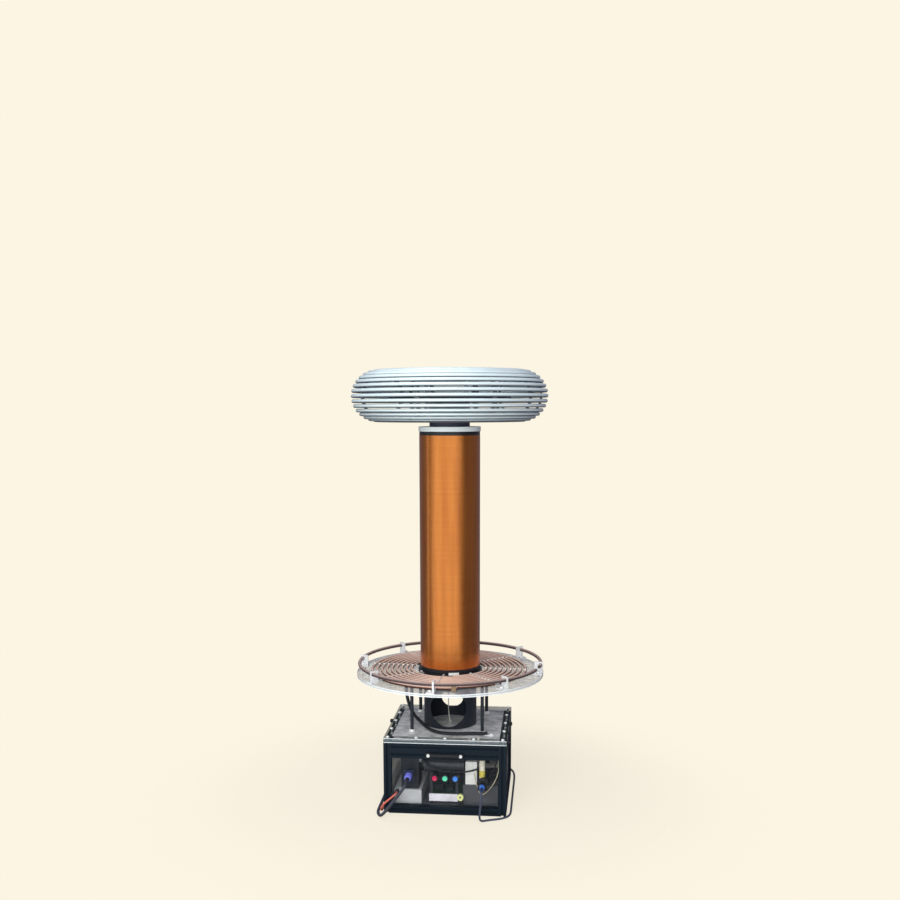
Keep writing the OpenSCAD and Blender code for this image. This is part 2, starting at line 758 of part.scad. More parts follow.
// Round plug of the control cord
module control_plug() color("#16181b") at_tip(control_coil_path, 0, control_turns, 1) {
  cylinder(d1 = control_cord_d + 2 * boot_wall, d2 = control_boot_d, h = plug_boot_l);
  translate([0, 0, plug_boot_l]) cylinder(r = control_plug_r, h = control_plug_l);
}

banana_d = 10;
banana_cone_l = 8;
banana_l = 24;
banana_pin_d = 4;
banana_pin_l = 15;

// Single-pin plug of the red lead
module red_lead_plug() color("#b23a44") at_tip(red_coil_path, 270, red_turns, 1) {
  cylinder(d1 = red_lead_d + 2 * boot_wall, d2 = banana_d, h = banana_cone_l);
  translate([0, 0, banana_cone_l]) cylinder(d = banana_d, h = banana_l);
  translate([0, 0, banana_cone_l + banana_l]) cylinder(d = banana_pin_d, h = banana_pin_l);
}

// ---- Electronics ----

// Each component is placed from the side wall and the front panel, or from its neighbour
filter_tab = [5, 9, 9];
supply_room = [2, 29.5];     // side wall and front panel to the supply
filter_step = [18, 8];       // corner of the supply to the filter's
cap_room = [10, 47.5];       // filter's tabs to the bus capacitor, and front panel to its axis
cap_end_room = 3;            // bus capacitor to the resonant one
heatsink_room = [4, 31.5];   // side wall and front panel to the heatsink
tank_step = [6, 6];          // corner of the heatsink to the resonant capacitor's
can_step = [50, 12];         // corner of the heatsink to the can's axis
board_room = [18, 8];        // supply to the board, and board to the heatsink
board_back = 71.5;           // front panel to the board
board_rise = 12;             // base plate to the board
transformer_step = [-6, 19.5]; // heatsink's side and front panel to the ring transformer
supply_at = [supply_room[0] - inner_half, panel_back + supply_room[1], floor_z];
filter_at = supply_at + [filter_step[0], filter_step[1], supply[2]];
heatsink_at = [inner_half - heatsink_room[0] - heatsink[0], panel_back + heatsink_room[1], floor_z];
tank_at = heatsink_at + [tank_step[0], tank_step[1], heatsink[2]];
can_at = heatsink_at + [can_step[0], can_step[1], heatsink[2]];
bus_cap_from = filter_at[0] + filter[0] + filter_tab[0] + cap_room[0];
bus_cap_l = tank_at[0] - cap_end_room - bus_cap_from;
bus_cap_at = [bus_cap_from + bus_cap_l / 2, panel_back + cap_room[1], bus_cap_z];
board_at = [supply_at[0] + supply[0] + board_room[0], panel_back + board_back, floor_z + board_rise];
board = [heatsink_at[0] - board_room[1] - board_at[0], board_l, board_t];
transformer_at = [heatsink_at[0] + transformer_step[0], panel_back + transformer_step[1], floor_z];

// Case with an open strip for its screw terminals at the front
terminal_strip = [8, 10, 3]; // side margins together, depth and height
module supply_case() color("#a9b0b4") difference() {
  translate(supply_at) cube(supply);
  translate(supply_at + [terminal_strip[0] / 2, terminal_strip[2], supply[2] - terminal_strip[2]])
    cube([supply[0] - terminal_strip[0], terminal_strip[1], terminal_strip[2] + cut]);
}

filter_tab_pitch = 14;
filter_tab_at = [12, 16]; // from the filter's front, and down from its top
module mains_filter() color("#1f2226") {
  translate(filter_at) cube(filter);
  for (i = [0 : 2])
    translate(filter_at + [filter[0], filter_tab_at[0] + filter_tab_pitch * i, filter[2] - filter_tab_at[1]])
      cube(filter_tab);
}

strap_w = 8;
strap_wall = 2.5;
strap_foot = 28;
strap_at = bus_cap_l * 0.32;

// The lying capacitor in its two straps, each on a foot on the base plate
module bus_capacitor() color("#2b2f34") {
  translate(bus_cap_at) x_rod(bus_cap_d, bus_cap_l);
  for (s = [-1, 1]) translate(bus_cap_at + [s * strap_at, 0, 0]) difference() {
    union() {
      x_rod(bus_cap_d + 2 * strap_wall, strap_w);
      translate([-strap_w / 2, -strap_foot / 2, floor_z - bus_cap_z])
        cube([strap_w, strap_foot, bus_cap_z - floor_z]);
    }
    x_rod(bus_cap_d + 2 * seat_gap, strap_w + 2 * cut);
  }
}

module tank_capacitors() color("#e9e9e4") {
  translate(tank_at) cube(tank_cap);
  translate(can_at) cylinder(d = can_d, h = can_h);
}

fin_count = 9;
fin_t = 2.4;
fin_root = 8;
module heatsink() color("#2f353a") translate(heatsink_at) {
  step = (heatsink[1] - fin_t) / (fin_count - 1);
  translate([0, 0, heatsink[2] - fin_root]) cube([heatsink[0], heatsink[1], fin_root]);
  for (i = [0 : fin_count - 1]) translate([0, i * step, 0])
    cube([heatsink[0], fin_t, heatsink[2] - fin_root + joint]);
}

bridge = [22, 48, 18];
bridge_pitch = 26;
bridge_at = heatsink_at + [38, 40, heatsink[2]];
bridge_tab = [14, 10, 4];
bridge_tab_pitch = 22;
bridge_tab_y = 8;
module bridge_modules() color("#191b1e") for (i = [0 : 1])
  translate(bridge_at + [i * bridge_pitch, 0, 0]) {
    cube(bridge);
    for (k = [0 : 1])
      translate([(bridge[0] - bridge_tab[0]) / 2, bridge_tab_y + k * bridge_tab_pitch, bridge[2]])
        cube(bridge_tab);
  }

board_edge = 5;
standoff_d = 6;
chip = [22, 30, 14];
relay = [16, 22, 10];
chip_at = [10, 30];
relay_at = [40, 20];       // from the board's right edge, and from its front
small_cap_at = [18, 15];   // from the board's left edge, and from its back
small_cap_d = 12;
small_cap_h = 22;
small_cap_pitch = 20;

// Board on four posts, with a chip's cooler, a relay and three small capacitors
module driver_board() color("#2f6e56") {
  translate(board_at) {
    cube(board);
    for (x = [board_edge, board[0] - board_edge], y = [board_edge, board[1] - board_edge])
      translate([x, y, floor_z - board_at[2]]) cylinder(d = standoff_d, h = board_at[2] - floor_z);
    translate([chip_at[0], chip_at[1], board[2]]) cube(chip);
    translate([board[0] - relay_at[0], relay_at[1], board[2]]) cube(relay);
    for (x = [small_cap_at[0] : small_cap_pitch : board[0] - small_cap_d])
      translate([x, board[1] - small_cap_at[1], board[2]]) cylinder(d = small_cap_d, h = small_cap_h);
  }
  translate(shield_at) cube(shield);
}

// White plate on the front of the capacitor's feet
shield_room = [2, 6]; // in from the board's left and right edges
shield_rise = 8;      // above the base plate
shield = [board[0] - shield_room[0] - shield_room[1], 3, 20];
shield_at = [board_at[0] + shield_room[0], bus_cap_at[1] - strap_foot / 2 - shield[1], floor_z + shield_rise];

ct_foot = [8, 8, 18];
ct_ring_d = 17;
ct_bore_d = 6;
ct_ring_z = 25;

// Small ring transformer on its foot
module current_transformer() color("#d9cf4e") translate(transformer_at) {
  translate([-ct_foot[0] / 2, -ct_foot[1] / 2, 0]) cube(ct_foot);
  translate([0, 0, ct_ring_z]) difference() {
    y_rod(ct_ring_d, -ct_foot[1] / 2, ct_foot[1] / 2);
    y_rod(ct_bore_d, -ct_foot[1] / 2 - cut, ct_foot[1] / 2 + cut);
  }
}

// Routes of the held wires inside the case, chosen by hand
power_wire = [
  [-68.2, -79.5, 124.5], [-65, -79.9, 124.8], [-63.2, -88, 129.5], [-63, -104, 138],
  [-62, -122, 141], [-56, -134, 134],
  [-44, -137, 122], [-26, -137, 113], [-6, -136.5, 109], [16, -136, 107.5], [38, -135, 107.5],
  [56, -132, 108.5], [70, -127, 110], [80, -120.5, 111], [83, -113, 110], [83, -100, 108],
  [83, -90, 104], [85, -81, 101], [89, -72, 99], [92, -65, 95.5], [93, -63, 91.5], [93, -63, 88.6]
];
signal_wire = [
  [104, -126.8, 76], [104.3, -123.6, 75], [108, -121.5, 70], [114, -124, 79], [122, -128, 104],
  [131, -131, 128], [135, -126, 141], [128, -104, 146], [112, -72, 141], [101, -49, 118],
  [97.5, -42, 102], [97, -41, 94], [97, -41, 88.6]
];
power_wire_d = 5;
signal_wire_d = 2.6;
module inner_wiring() color("#15171a") {
  swept_tube(power_wire, power_wire_d, 8);
  swept_tube(signal_wire, signal_wire_d, 8);
}

// ---- Fan ----

fan_back = -panel_back;
fan_front = fan_back - fan_t;
fan_middle = (fan_front + fan_back) / 2;
fan_wall = 2;
fan_tip_room = 3.5;
fan_duct_d = fan_w - 2 * fan_wall;
fan_tip_d = fan_duct_d - 2 * fan_tip_room;
fan_strut = [3, 4];    // depth and width of a strut
fan_rim_gap = 1.5;
shaft_gap = 0.05;
shaft_in = 4;
shaft_end = fan_back - shaft_in;
blade_t = 1.6;
blade_l = 20;
blade_pitch = 40;

module fan_frame() color("#1b1d20") translate([fan_x, 0, fan_z]) {
  difference() {
    translate([-fan_w / 2, fan_front, -fan_w / 2]) cube([fan_w, fan_t, fan_w]);
    y_rod(fan_duct_d, fan_front - cut, fan_back + cut);
  }
  for (a = [45 : 90 : 315]) rotate([0, a, 0])
    translate([fan_hub_d / 2 - cut, fan_front, -fan_strut[1] / 2])
      cube([fan_duct_d / 2 - fan_hub_d / 2 + 2 * cut, fan_strut[0], fan_strut[1]]);
  y_rod(fan_hub_d, fan_front, fan_front + fan_strut[0]);
  y_rod(fan_shaft_d, fan_front + fan_strut[0], shaft_end);
}

module fan_blade()
  translate([fan_hub_d / 2 - cut, fan_middle + cut, 0]) rotate([blade_pitch, 0, 0])
    translate([0, -blade_t / 2, -blade_l / 2]) cube([fan_tip_d / 2 - fan_hub_d / 2 - cut, blade_t, blade_l]);

module fan_rotor() color("#26292d") translate([fan_x, 0, fan_z]) difference() {
  union() {
    y_rod(fan_hub_d, fan_front + fan_strut[0] + fan_rim_gap, fan_back - fan_rim_gap);
    for (i = [0 : fan_blades - 1]) rotate([0, 360 * i / fan_blades, 0]) fan_blade();
  }
  y_rod(fan_shaft_d + 2 * shaft_gap, fan_front, shaft_end + joint);
}

// ---- Stand ----

module stand_pipe() color("#1d2126") difference() {
  translate([0, 0, deck_z]) cylinder(d = pipe_d, h = stand_h);
  translate([0, 0, deck_z - cut]) cylinder(d = pipe_d - 2 * pipe_wall, h = stand_h + 2 * cut);
  translate([0, 0, deck_z + window_z]) {
    y_rod(front_window_d, -pipe_d, 0);
    y_rod(back_window_d, 0, pipe_d);
  }
}

// Each pillar has a thinner end that goes through the top plate
module pillars() color("#17191c") for (p = pillar_places()) translate([p[0], p[1], deck_z]) {
  cylinder(d = pillar_d, h = stand_h);
  translate([0, 0, -top_t]) cylinder(d = bolt_d, h = top_t + joint);
}

nylon_nut_h = 6;
nylon_nut_w = 15;
nylon_head_taper = 2;
pillar_head_d = 11;
pillar_head_h = 1.2; // the primary's tube passes over it
bracket_head_d = 9;
bracket_head_h = 3.5;

// A white screw with its head on z = 0
module nylon_screw(l, head_d, head_h) {
  translate([0, 0, -l]) cylinder(d = bolt_d, h = l);
  cylinder(d1 = head_d, d2 = head_d - nylon_head_taper, h = head_h);
}

module nylon_screws() color("#f0f0ec") {
  for (p = pillar_places()) {
    translate([p[0], p[1], deck_z]) difference() {
      cylinder(d = nylon_nut_w, h = nylon_nut_h, $fn = 6);
      translate([0, 0, -cut]) cylinder(d = pillar_d + 2 * seat_gap, h = nylon_nut_h + 2 * cut);
    }
    translate([p[0], p[1], plate_top]) nylon_screw(plate_t, pillar_head_d, pillar_head_h);
  }
  for (i = [0 : comb_count - 1]) at_azimuth(comb_azimuth(i))
    translate([bracket_screw_r, -bracket_foot_l / 2, plate_top + bracket_foot_t])
      nylon_screw(plate_t + bracket_foot_t, bracket_head_d, bracket_head_h);
}

// A flat ring terminal on the top plate, with its tongue towards -X
lug_d = 16;
lug_reach = 17;
lug_tongue_w = 7;
module ring_lug() translate([0, 0, deck_z]) difference() {
  union() {
    cylinder(d = lug_d, h = lug_t);
    translate([-lug_reach, -lug_tongue_w / 2, 0]) cube([lug_reach, lug_tongue_w, lug_t]);
  }
  translate([0, 0, -cut]) cylinder(d = bolt_d + 2 * screw_gap, h = lug_t + 2 * cut);
}

// Route of the feed cable from the primary plate's underside to its terminal on the top plate
lying_z = deck_z + feed_d / 2 + joint;
feed_route = [
  [-122, 4, plate_z], [-122, 4, plate_z - 16], [-121, 3, plate_z - 44], [-118, 0, plate_z - 70],
  [-108, -14, plate_z - 95], [-92, -38, plate_z - 111], [-73, -64, plate_z - 120],
  [-55, -83, plate_z - 128], [-36, -101, lying_z], [-14, -116, lying_z], [16, -121, lying_z],
  [46, -119, lying_z], [76, -115, lying_z], [100, -113, lying_z], [108, -112, lying_z]
];
module feed_cable() color("#101215") {
  swept_tube(feed_route, feed_d, 10);
  translate(feed_bolt) ring_lug();
}

// Route of the earth wire from the secondary's foot to the middle bolt
earth_route = [
  [-5, 8, plate_z], [-5, 8, plate_z - 20], [-6, 6, plate_z - 60], [-5, 2, plate_z - 100],
  [-3, -7, deck_z + 22], [-1, -12, deck_z + 9], [0, -13, deck_z + lug_t / 2]
];
module earth_wire() color("#dfe2dd") {
  swept_tube(earth_route, earth_d, 8);
  rotate(90) ring_lug();
}

// ---- Primary ----

function comb_azimuth(i) = 360 * i / comb_count - comb_lead;
primary_start = 360 / loop_rings - comb_lead;

// The strike ring's brackets stand at the plate's rim, and the turns fill the room inside them
bracket_edge = 0.5;
bracket_out_r = plate_d / 2 - bracket_edge;
strike_r = plate_d / 2 - strike_inset;
comb_margin = 4;
primary_room = bracket_out_r - bracket_w - comb_room - comb_margin - tube_d / 2 - primary_r;
primary_turns = floor(primary_room / primary_pitch);
primary_path = spiral_path(primary_start, primary_r, primary_pitch, primary_turns, primary_z);
primary_out_r = primary_r + primary_pitch * primary_turns;

module primary_plate() color("#e4eef2", 0.3) difference() {
  translate([0, 0, plate_z]) cylinder(d = plate_d, h = plate_t, $fn = 96);
  for (p = pillar_places()) translate([p[0], p[1], plate_z - cut])
    cylinder(d = bolt_d + 2 * screw_gap, h = plate_t + 2 * cut);
  for (i = [0 : comb_count - 1]) at_azimuth(comb_azimuth(i))
    translate([bracket_screw_r, -bracket_foot_l / 2, plate_z - cut])
      cylinder(d = bolt_d + 2 * screw_gap, h = plate_t + 2 * cut);
}

// Radius of the spiral where it passes an azimuth, counted from its first pass
function pass_radius(azimuth, k) =
  let (turned = (azimuth - primary_start) / 360, first = turned - floor(turned))
    primary_r + primary_pitch * (first + k);

comb_over = 2;
comb_in_r = primary_r - tube_d / 2 - comb_margin;
comb_out_r = primary_out_r + tube_d / 2 + comb_margin;
comb_h = primary_rise + comb_over;

// Outline of a comb, with an open notch under each pass of the tube
module comb_2d(azimuth) difference() {
  translate([comb_in_r, 0]) square([comb_out_r - comb_in_r, comb_h]);
  for (k = [0 : primary_turns - 1]) translate([pass_radius(azimuth, k), primary_rise]) {
    circle(d = tube_d + 2 * notch_gap);
    translate([-tube_d / 2 - notch_gap, 0]) square([tube_d + 2 * notch_gap, tube_d]);
  }
}

module comb(azimuth)
  translate([0, comb_t / 2, plate_top]) rotate([90, 0, 0]) linear_extrude(comb_t) comb_2d(azimuth);

module combs() color("#e4eef2", 0.35)
  for (i = [0 : comb_count - 1]) at_azimuth(comb_azimuth(i)) comb(comb_azimuth(i));

module primary_coil() color("#c98d6a") swept_tube(primary_path, tube_d, loop_sides);

module tube_ties() color("#f2f2ee") for (i = [0 : comb_count - 1]) at_azimuth(comb_azimuth(i))
  translate([comb_in_r + comb_margin, -tie_w / 2, primary_z + tube_d / 2 + seat_gap])
    cube([comb_out_r - comb_in_r - 2 * comb_margin, tie_w, tie_t]);

clamp_w = 14;
clamp_l = 12;
clamp_back = 2;

// Block on the tube's outer end, turned along the tube's last straight stretch
module tap_clamp() color("#8a6a3c")
  at_azimuth(primary_start + 360 * primary_turns) translate([primary_out_r, 0, primary_z])
    rotate(-180 / loop_rings) translate([0, -clamp_l - clamp_back, 0]) difference() {
      translate([-clamp_w / 2, 0, -primary_rise]) cube([clamp_w, clamp_l, primary_rise + clamp_w / 2]);
      y_rod(tube_d + 2 * notch_gap, -cut, clamp_l + cut);
    }

// ---- Strike ring ----

module strike_ring() color("#7d675a") translate([0, 0, strike_z])
  at_azimuth(strike_from + strike_open) rotate_extrude(angle = 360 - strike_open, $fn = 120)
    translate([strike_r, 0]) circle(d = strike_d, $fn = 24);

bracket_foot_t = 4;
bracket_foot_l = 16;
bracket_screw_r = bracket_out_r - bracket_w / 2;
bracket_over = 4;
bracket_h = strike_rise + strike_d / 2 + bracket_over;

// Upright with the ring's hole, on a foot with its screw's hole
module strike_bracket() translate([bracket_out_r - bracket_w, 0, plate_top]) difference() {
  union() {
    cube([bracket_w, bracket_t, bracket_h]);
    translate([0, -bracket_foot_l, 0]) cube([bracket_w, bracket_foot_l + joint, bracket_foot_t]);
  }
  translate([strike_r - bracket_out_r + bracket_w, 0, strike_rise])
    y_rod(strike_d + 2 * notch_gap, -cut, bracket_t + cut);
  translate([bracket_w / 2, -bracket_foot_l / 2, -cut])
    cylinder(d = bolt_d + 2 * screw_gap, h = bracket_foot_t + 2 * cut);
}

module strike_brackets() color("#eef4f6", 0.5)
  for (i = [0 : comb_count - 1]) at_azimuth(comb_azimuth(i)) strike_bracket();

// ---- Secondary ----

module secondary_foot() color("#1a1c1f") translate([0, 0, plate_top]) difference() {
  cylinder(d = foot_d, h = foot_h, $fn = 96);
  translate([0, 0, -cut]) cylinder(d = winding_in_d + 2 * seat_gap, h = foot_h + 2 * cut, $fn = 96);
}

module secondary_former() color("#17181a") translate([0, 0, plate_top]) difference() {
  cylinder(d = winding_in_d, h = former_h, $fn = 96);
  translate([0, 0, -cut]) cylinder(d = winding_in_d - 2 * former_wall, h = former_h + 2 * cut, $fn = 96);
}

module winding() color("#b8641c") translate([0, 0, winding_z]) difference() {
  cylinder(d = winding_d, h = winding_l, $fn = 96);
  translate([0, 0, -cut]) cylinder(d = winding_in_d, h = winding_l + 2 * cut, $fn = 96);
}

cap_plug_l = 14;
module end_cap() color("#f1f3f2") {
  translate([0, 0, cap_z]) cylinder(d = cap_d, h = cap_t, $fn = 96);
  translate([0, 0, cap_z - cap_plug_l])
    cylinder(d = winding_in_d - 2 * former_wall - 2 * seat_gap, h = cap_plug_l, $fn = 96);
}

// ---- Top load ----

module collar() color("#3a4352") translate([0, 0, collar_z]) difference() {
  cylinder(d = collar_d, h = collar_h);
  translate([0, 0, -cut]) cylinder(d = collar_d - 2 * collar_wall, h = collar_h - collar_wall + cut);
  for (a = disc_bolt_angles) rotate(a) translate([disc_bolt_r, 0, 0])
    cylinder(d = bolt_d + 2 * screw_gap, h = collar_h + cut);
}

hoop_out = ring_orbit - ring_d / 2 - seat_gap;
hoop_in = hoop_out - hoop_t;

function hoop_azimuth(i) = 360 * i / hoop_count - hoop_lead;

module hoop_section(grow)
  translate([cage_r, (hoop_w + 2 * grow) / 2, cage_z]) rotate([90, 0, 0]) difference() {
    cylinder(r = hoop_out + grow, h = hoop_w + 2 * grow, $fn = 64);
    translate([0, 0, -cut]) cylinder(r = hoop_in - grow, h = hoop_w + 2 * grow + 2 * cut, $fn = 64);
  }

module load_disc() color("#3c434b") difference() {
  translate([0, 0, disc_z]) cylinder(d = disc_d, h = disc_t, $fn = 96);
  for (i = [0 : hoop_count - 1]) at_azimuth(hoop_azimuth(i)) hoop_section(seat_gap);
  for (a = disc_bolt_angles) rotate(a) translate([disc_bolt_r, 0, disc_z - cut])
    cylinder(d = bolt_d + 2 * screw_gap, h = disc_t + 2 * cut);
}

module cage_hoops() color("#d5dfe4") for (i = [0 : hoop_count - 1]) at_azimuth(hoop_azimuth(i)) hoop_section(0);

module cage_rings() color("#dfe8ec") for (k = [-ring_side : ring_side]) let (a = k * ring_step)
  translate([0, 0, cage_z + ring_orbit * sin(a)]) rotate_extrude($fn = 120)
    translate([cage_r + ring_orbit * cos(a), 0]) circle(d = ring_d, $fn = 24);

echo(primary_gap = least_gap(primary_path, tube_d));
echo(mains_gap = least_gap(mains_coil_path, mains_cord_d));
echo(control_gap = least_gap(control_coil_path, control_cord_d));
echo(red_gap = least_gap(red_coil_path, red_lead_d));
echo(mains_length = path_length(mains_route) + path_length(mains_coil_path));
echo(control_length = path_length(control_route) + path_length(control_coil_path));
echo(red_length = path_length(lead_route) + path_length(red_coil_path));

corner_posts();
top_rails();
bottom_rails();
base_plate();
front_panel();
side_panels();
back_panel();
top_plate();
bright_bolts();
carry_handle();
side_buffers();
button_housings();
red_button();
green_button();
blue_button();
mains_inlet();
mains_connector();
mains_cord();
mains_coil();
mains_plug();
control_inlet();
control_connector();
control_cord();
control_coil();
control_plug();
lead_grommet();
red_lead();
red_lead_coil();
red_lead_plug();
supply_case();
mains_filter();
bus_capacitor();
tank_capacitors();
heatsink();
bridge_modules();
driver_board();
current_transformer();
inner_wiring();
fan_frame();
fan_rotor();
stand_pipe();
pillars();
nylon_screws();
feed_cable();
earth_wire();
primary_plate();
combs();
primary_coil();
tube_ties();
tap_clamp();
strike_ring();
strike_brackets();
secondary_foot();
secondary_former();
winding();
end_cap();
collar();
load_disc();
cage_hoops();
cage_rings();
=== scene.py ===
"""A resonant transformer for demonstrations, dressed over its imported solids. Metres, +Z up."""

import math
import bmesh
import bpy
from mathutils import Matrix, Vector


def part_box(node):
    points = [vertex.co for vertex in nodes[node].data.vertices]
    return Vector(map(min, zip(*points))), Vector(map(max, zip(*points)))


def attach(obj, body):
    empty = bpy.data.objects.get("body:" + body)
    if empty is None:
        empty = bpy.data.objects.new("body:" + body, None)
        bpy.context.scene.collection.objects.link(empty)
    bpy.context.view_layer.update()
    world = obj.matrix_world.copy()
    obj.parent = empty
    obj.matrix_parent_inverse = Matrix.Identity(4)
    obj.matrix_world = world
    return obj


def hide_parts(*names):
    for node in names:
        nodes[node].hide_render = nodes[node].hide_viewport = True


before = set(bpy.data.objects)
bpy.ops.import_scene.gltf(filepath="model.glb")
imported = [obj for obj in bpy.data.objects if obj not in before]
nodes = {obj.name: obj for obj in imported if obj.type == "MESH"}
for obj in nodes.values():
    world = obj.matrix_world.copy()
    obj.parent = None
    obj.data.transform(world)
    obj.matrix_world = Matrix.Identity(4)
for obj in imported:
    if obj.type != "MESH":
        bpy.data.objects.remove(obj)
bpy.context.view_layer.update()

# ---- Camera ----
# The photograph was taken from nearly three metres away, level with the secondary's top end and a
# little to the right of the front. The frame is 900 by 900.
camera_distance = 2.7807
camera_height = 1.0469
camera_turn = math.radians(5.537)
camera_pitch = math.radians(8.357)
camera_roll = math.radians(-0.15)
camera_data = bpy.data.cameras.new("camera")
camera_data.sensor_width = 36.0
camera_data.lens = 42.13
camera_data.shift_y = 0.1261
camera = bpy.data.objects.new("camera", camera_data)
camera.matrix_world = (
    Matrix.Translation((
        camera_distance * math.sin(camera_turn), -camera_distance * math.cos(camera_turn), camera_height
    ))
    @ Matrix.Rotation(camera_turn, 4, "Z")
    @ Matrix.Rotation(math.pi / 2 - camera_pitch, 4, "X")
    @ Matrix.Rotation(camera_roll, 4, "Z")
)
bpy.context.scene.collection.objects.link(camera)
bpy.context.scene.camera = camera

# ---- Cords ----
# Three free cords leave the front: the round mains cord, the thinner control cord and the red lead.
# Each runs down to the floor and along the case, and its spare length lies coiled behind it.
mm = 0.001


def add_sockets(tree, direction, sockets):
    """Gives a node group its sockets, each a name, a kind and a default value."""
    for name, kind, value in sockets:
        socket = tree.interface.new_socket(name=name, in_out=direction, socket_type="NodeSocket" + kind)
        if value is not None:
            socket.default_value = value


def maths(tree, operation, *values):
    """A maths node's result; each value is a number or another node's socket."""
    step = tree.nodes.new("ShaderNodeMath")
    step.operation = operation
    for socket, value in zip(step.inputs, values):
        if isinstance(value, bpy.types.NodeSocket):
            tree.links.new(value, socket)
        else:
            socket.default_value = value
    return step.outputs[0]


def moulded_group():
    """Colour that varies a little from place to place, roughness that varies with it, and a fine grain."""
    tree = bpy.data.node_groups.new("moulded_surface", "ShaderNodeTree")
    add_sockets(tree, "INPUT", (
        ("Color", "Color", (0.5, 0.5, 0.5, 1.0)),
        ("Mottle", "Float", 0.1),
        ("Mottle Scale", "Float", 14.0),
        ("Roughness", "Float", 0.5),
        ("Spread", "Float", 0.1),
        ("Grain Scale", "Float", 900.0),
        ("Grain Height", "Float", 0.00005),
    ))
    add_sockets(tree, "OUTPUT", (
        ("Color", "Color", None), ("Roughness", "Float", None), ("Normal", "Vector", None)
    ))
    add = tree.nodes.new
    link = tree.links.new
    entry = add("NodeGroupInput")
    leave = add("NodeGroupOutput")
    place = add("ShaderNodeTexCoord")
    patches = add("ShaderNodeTexNoise")
    patches.inputs["Detail"].default_value = 4.0
    link(place.outputs["Object"], patches.inputs["Vector"])
    link(entry.outputs["Mottle Scale"], patches.inputs["Scale"])
    centred = maths(tree, "SUBTRACT", patches.outputs["Fac"], 0.5)
    shade = maths(tree, "MULTIPLY_ADD", centred, entry.outputs["Mottle"], 1.0)
    tint = add("ShaderNodeVectorMath")
    tint.operation = "SCALE"
    link(entry.outputs["Color"], tint.inputs[0])
    link(shade, tint.inputs["Scale"])
    link(tint.outputs["Vector"], leave.inputs["Color"])
    rough = maths(tree, "MULTIPLY_ADD", centred, entry.outputs["Spread"], entry.outputs["Roughness"])
    link(rough, leave.inputs["Roughness"])
    grain = add("ShaderNodeTexNoise")
    link(place.outputs["Object"], grain.inputs["Vector"])
    link(entry.outputs["Grain Scale"], grain.inputs["Scale"])
    bump = add("ShaderNodeBump")
    link(grain.outputs["Fac"], bump.inputs["Height"])
    link(entry.outputs["Grain Height"], bump.inputs["Distance"])
    link(bump.outputs["Normal"], leave.inputs["Normal"])
    return tree


moulded = moulded_group()


def finish(name, color, roughness, metallic=0.0, mottle=0.25, patch=14.0, spread=0.15, grain=900.0,
           height=0.00005, coat=0.0, alpha=1.0, shine=0.5):
    """A material with its own place in the shared surface group."""
    material = bpy.data.materials.new(name)
    material.use_nodes = True
    tree = material.node_tree
    shader = tree.nodes["Principled BSDF"]
    surface = tree.nodes.new("ShaderNodeGroup")
    surface.node_tree = moulded
    surface.inputs["Color"].default_value = (*color, 1.0)
    surface.inputs["Mottle"].default_value = mottle
    surface.inputs["Mottle Scale"].default_value = patch
    surface.inputs["Roughness"].default_value = roughness
    surface.inputs["Spread"].default_value = spread
    surface.inputs["Grain Scale"].default_value = grain
    surface.inputs["Grain Height"].default_value = height
    tree.links.new(surface.outputs["Color"], shader.inputs["Base Color"])
    tree.links.new(surface.outputs["Roughness"], shader.inputs["Roughness"])
    tree.links.new(surface.outputs["Normal"], shader.inputs["Normal"])
    shader.inputs["Metallic"].default_value = metallic
    shader.inputs["Coat Weight"].default_value = coat
    shader.inputs["Alpha"].default_value = alpha
    shader.inputs["Specular IOR Level"].default_value = shine
    return material


cord_step = 0.003


def smooth_line(points, step=cord_step):
    """A smooth line through given points, with a point about every step."""
    knots = [Vector(p) for p in points]
    ends = [knots[0] * 2 - knots[1], *knots, knots[-1] * 2 - knots[-2]]
    line = []
    for a, b, c, d in zip(ends, ends[1:], ends[2:], ends[3:]):
        count = max(1, round((c - b).length / step))
        for i in range(count):
            t = i / count
            line.append(0.5 * (
                2 * b + (c - a) * t + (2 * a - 5 * b + 4 * c - d) * t ** 2 + (3 * b - a - 3 * c + d) * t ** 3
            ))
    return line + [knots[-1]]


def ease(x):
    """A smooth step from nought to one."""
    t = min(max(x, 0.0), 1.0)
    return t * t * (3 - 2 * t)


coil_room = 0.0007
coil_steps = 36
tail_points = 4
tail_slope = 1.34


def stowed_coil(centre, middle_r, diameter, turns, way, start, tail, end_height):
    """A coil in two layers: in along the floor, up a layer, out again on top, and a short tail."""
    pitch = diameter + coil_room
    inner = middle_r - pitch * turns / 4
    points = []
    for i in range(round(turns * coil_steps) + 1):
        t = i / coil_steps
        radius = inner + pitch * abs(t - turns / 2)
        angle = start + way * 2 * math.pi * t
        height = diameter / 2 + pitch * ease((t - turns / 2) * 2 + 0.5)
        points.append(Vector((
            centre[0] + radius * math.cos(angle), centre[1] + radius * math.sin(angle), height
        )))
    heading_angle = start + way * 2 * math.pi * turns + way * math.pi / 2
    heading = Vector((math.cos(heading_angle), math.sin(heading_angle), 0.0))
    tip = points[-1].copy()
    for i in range(1, tail_points + 1):
        share = i / tail_points
        lift = (end_height - tip.z) * ease(share * tail_slope)
        points.append(tip + heading * tail * share + Vector((0, 0, lift)))
    return points


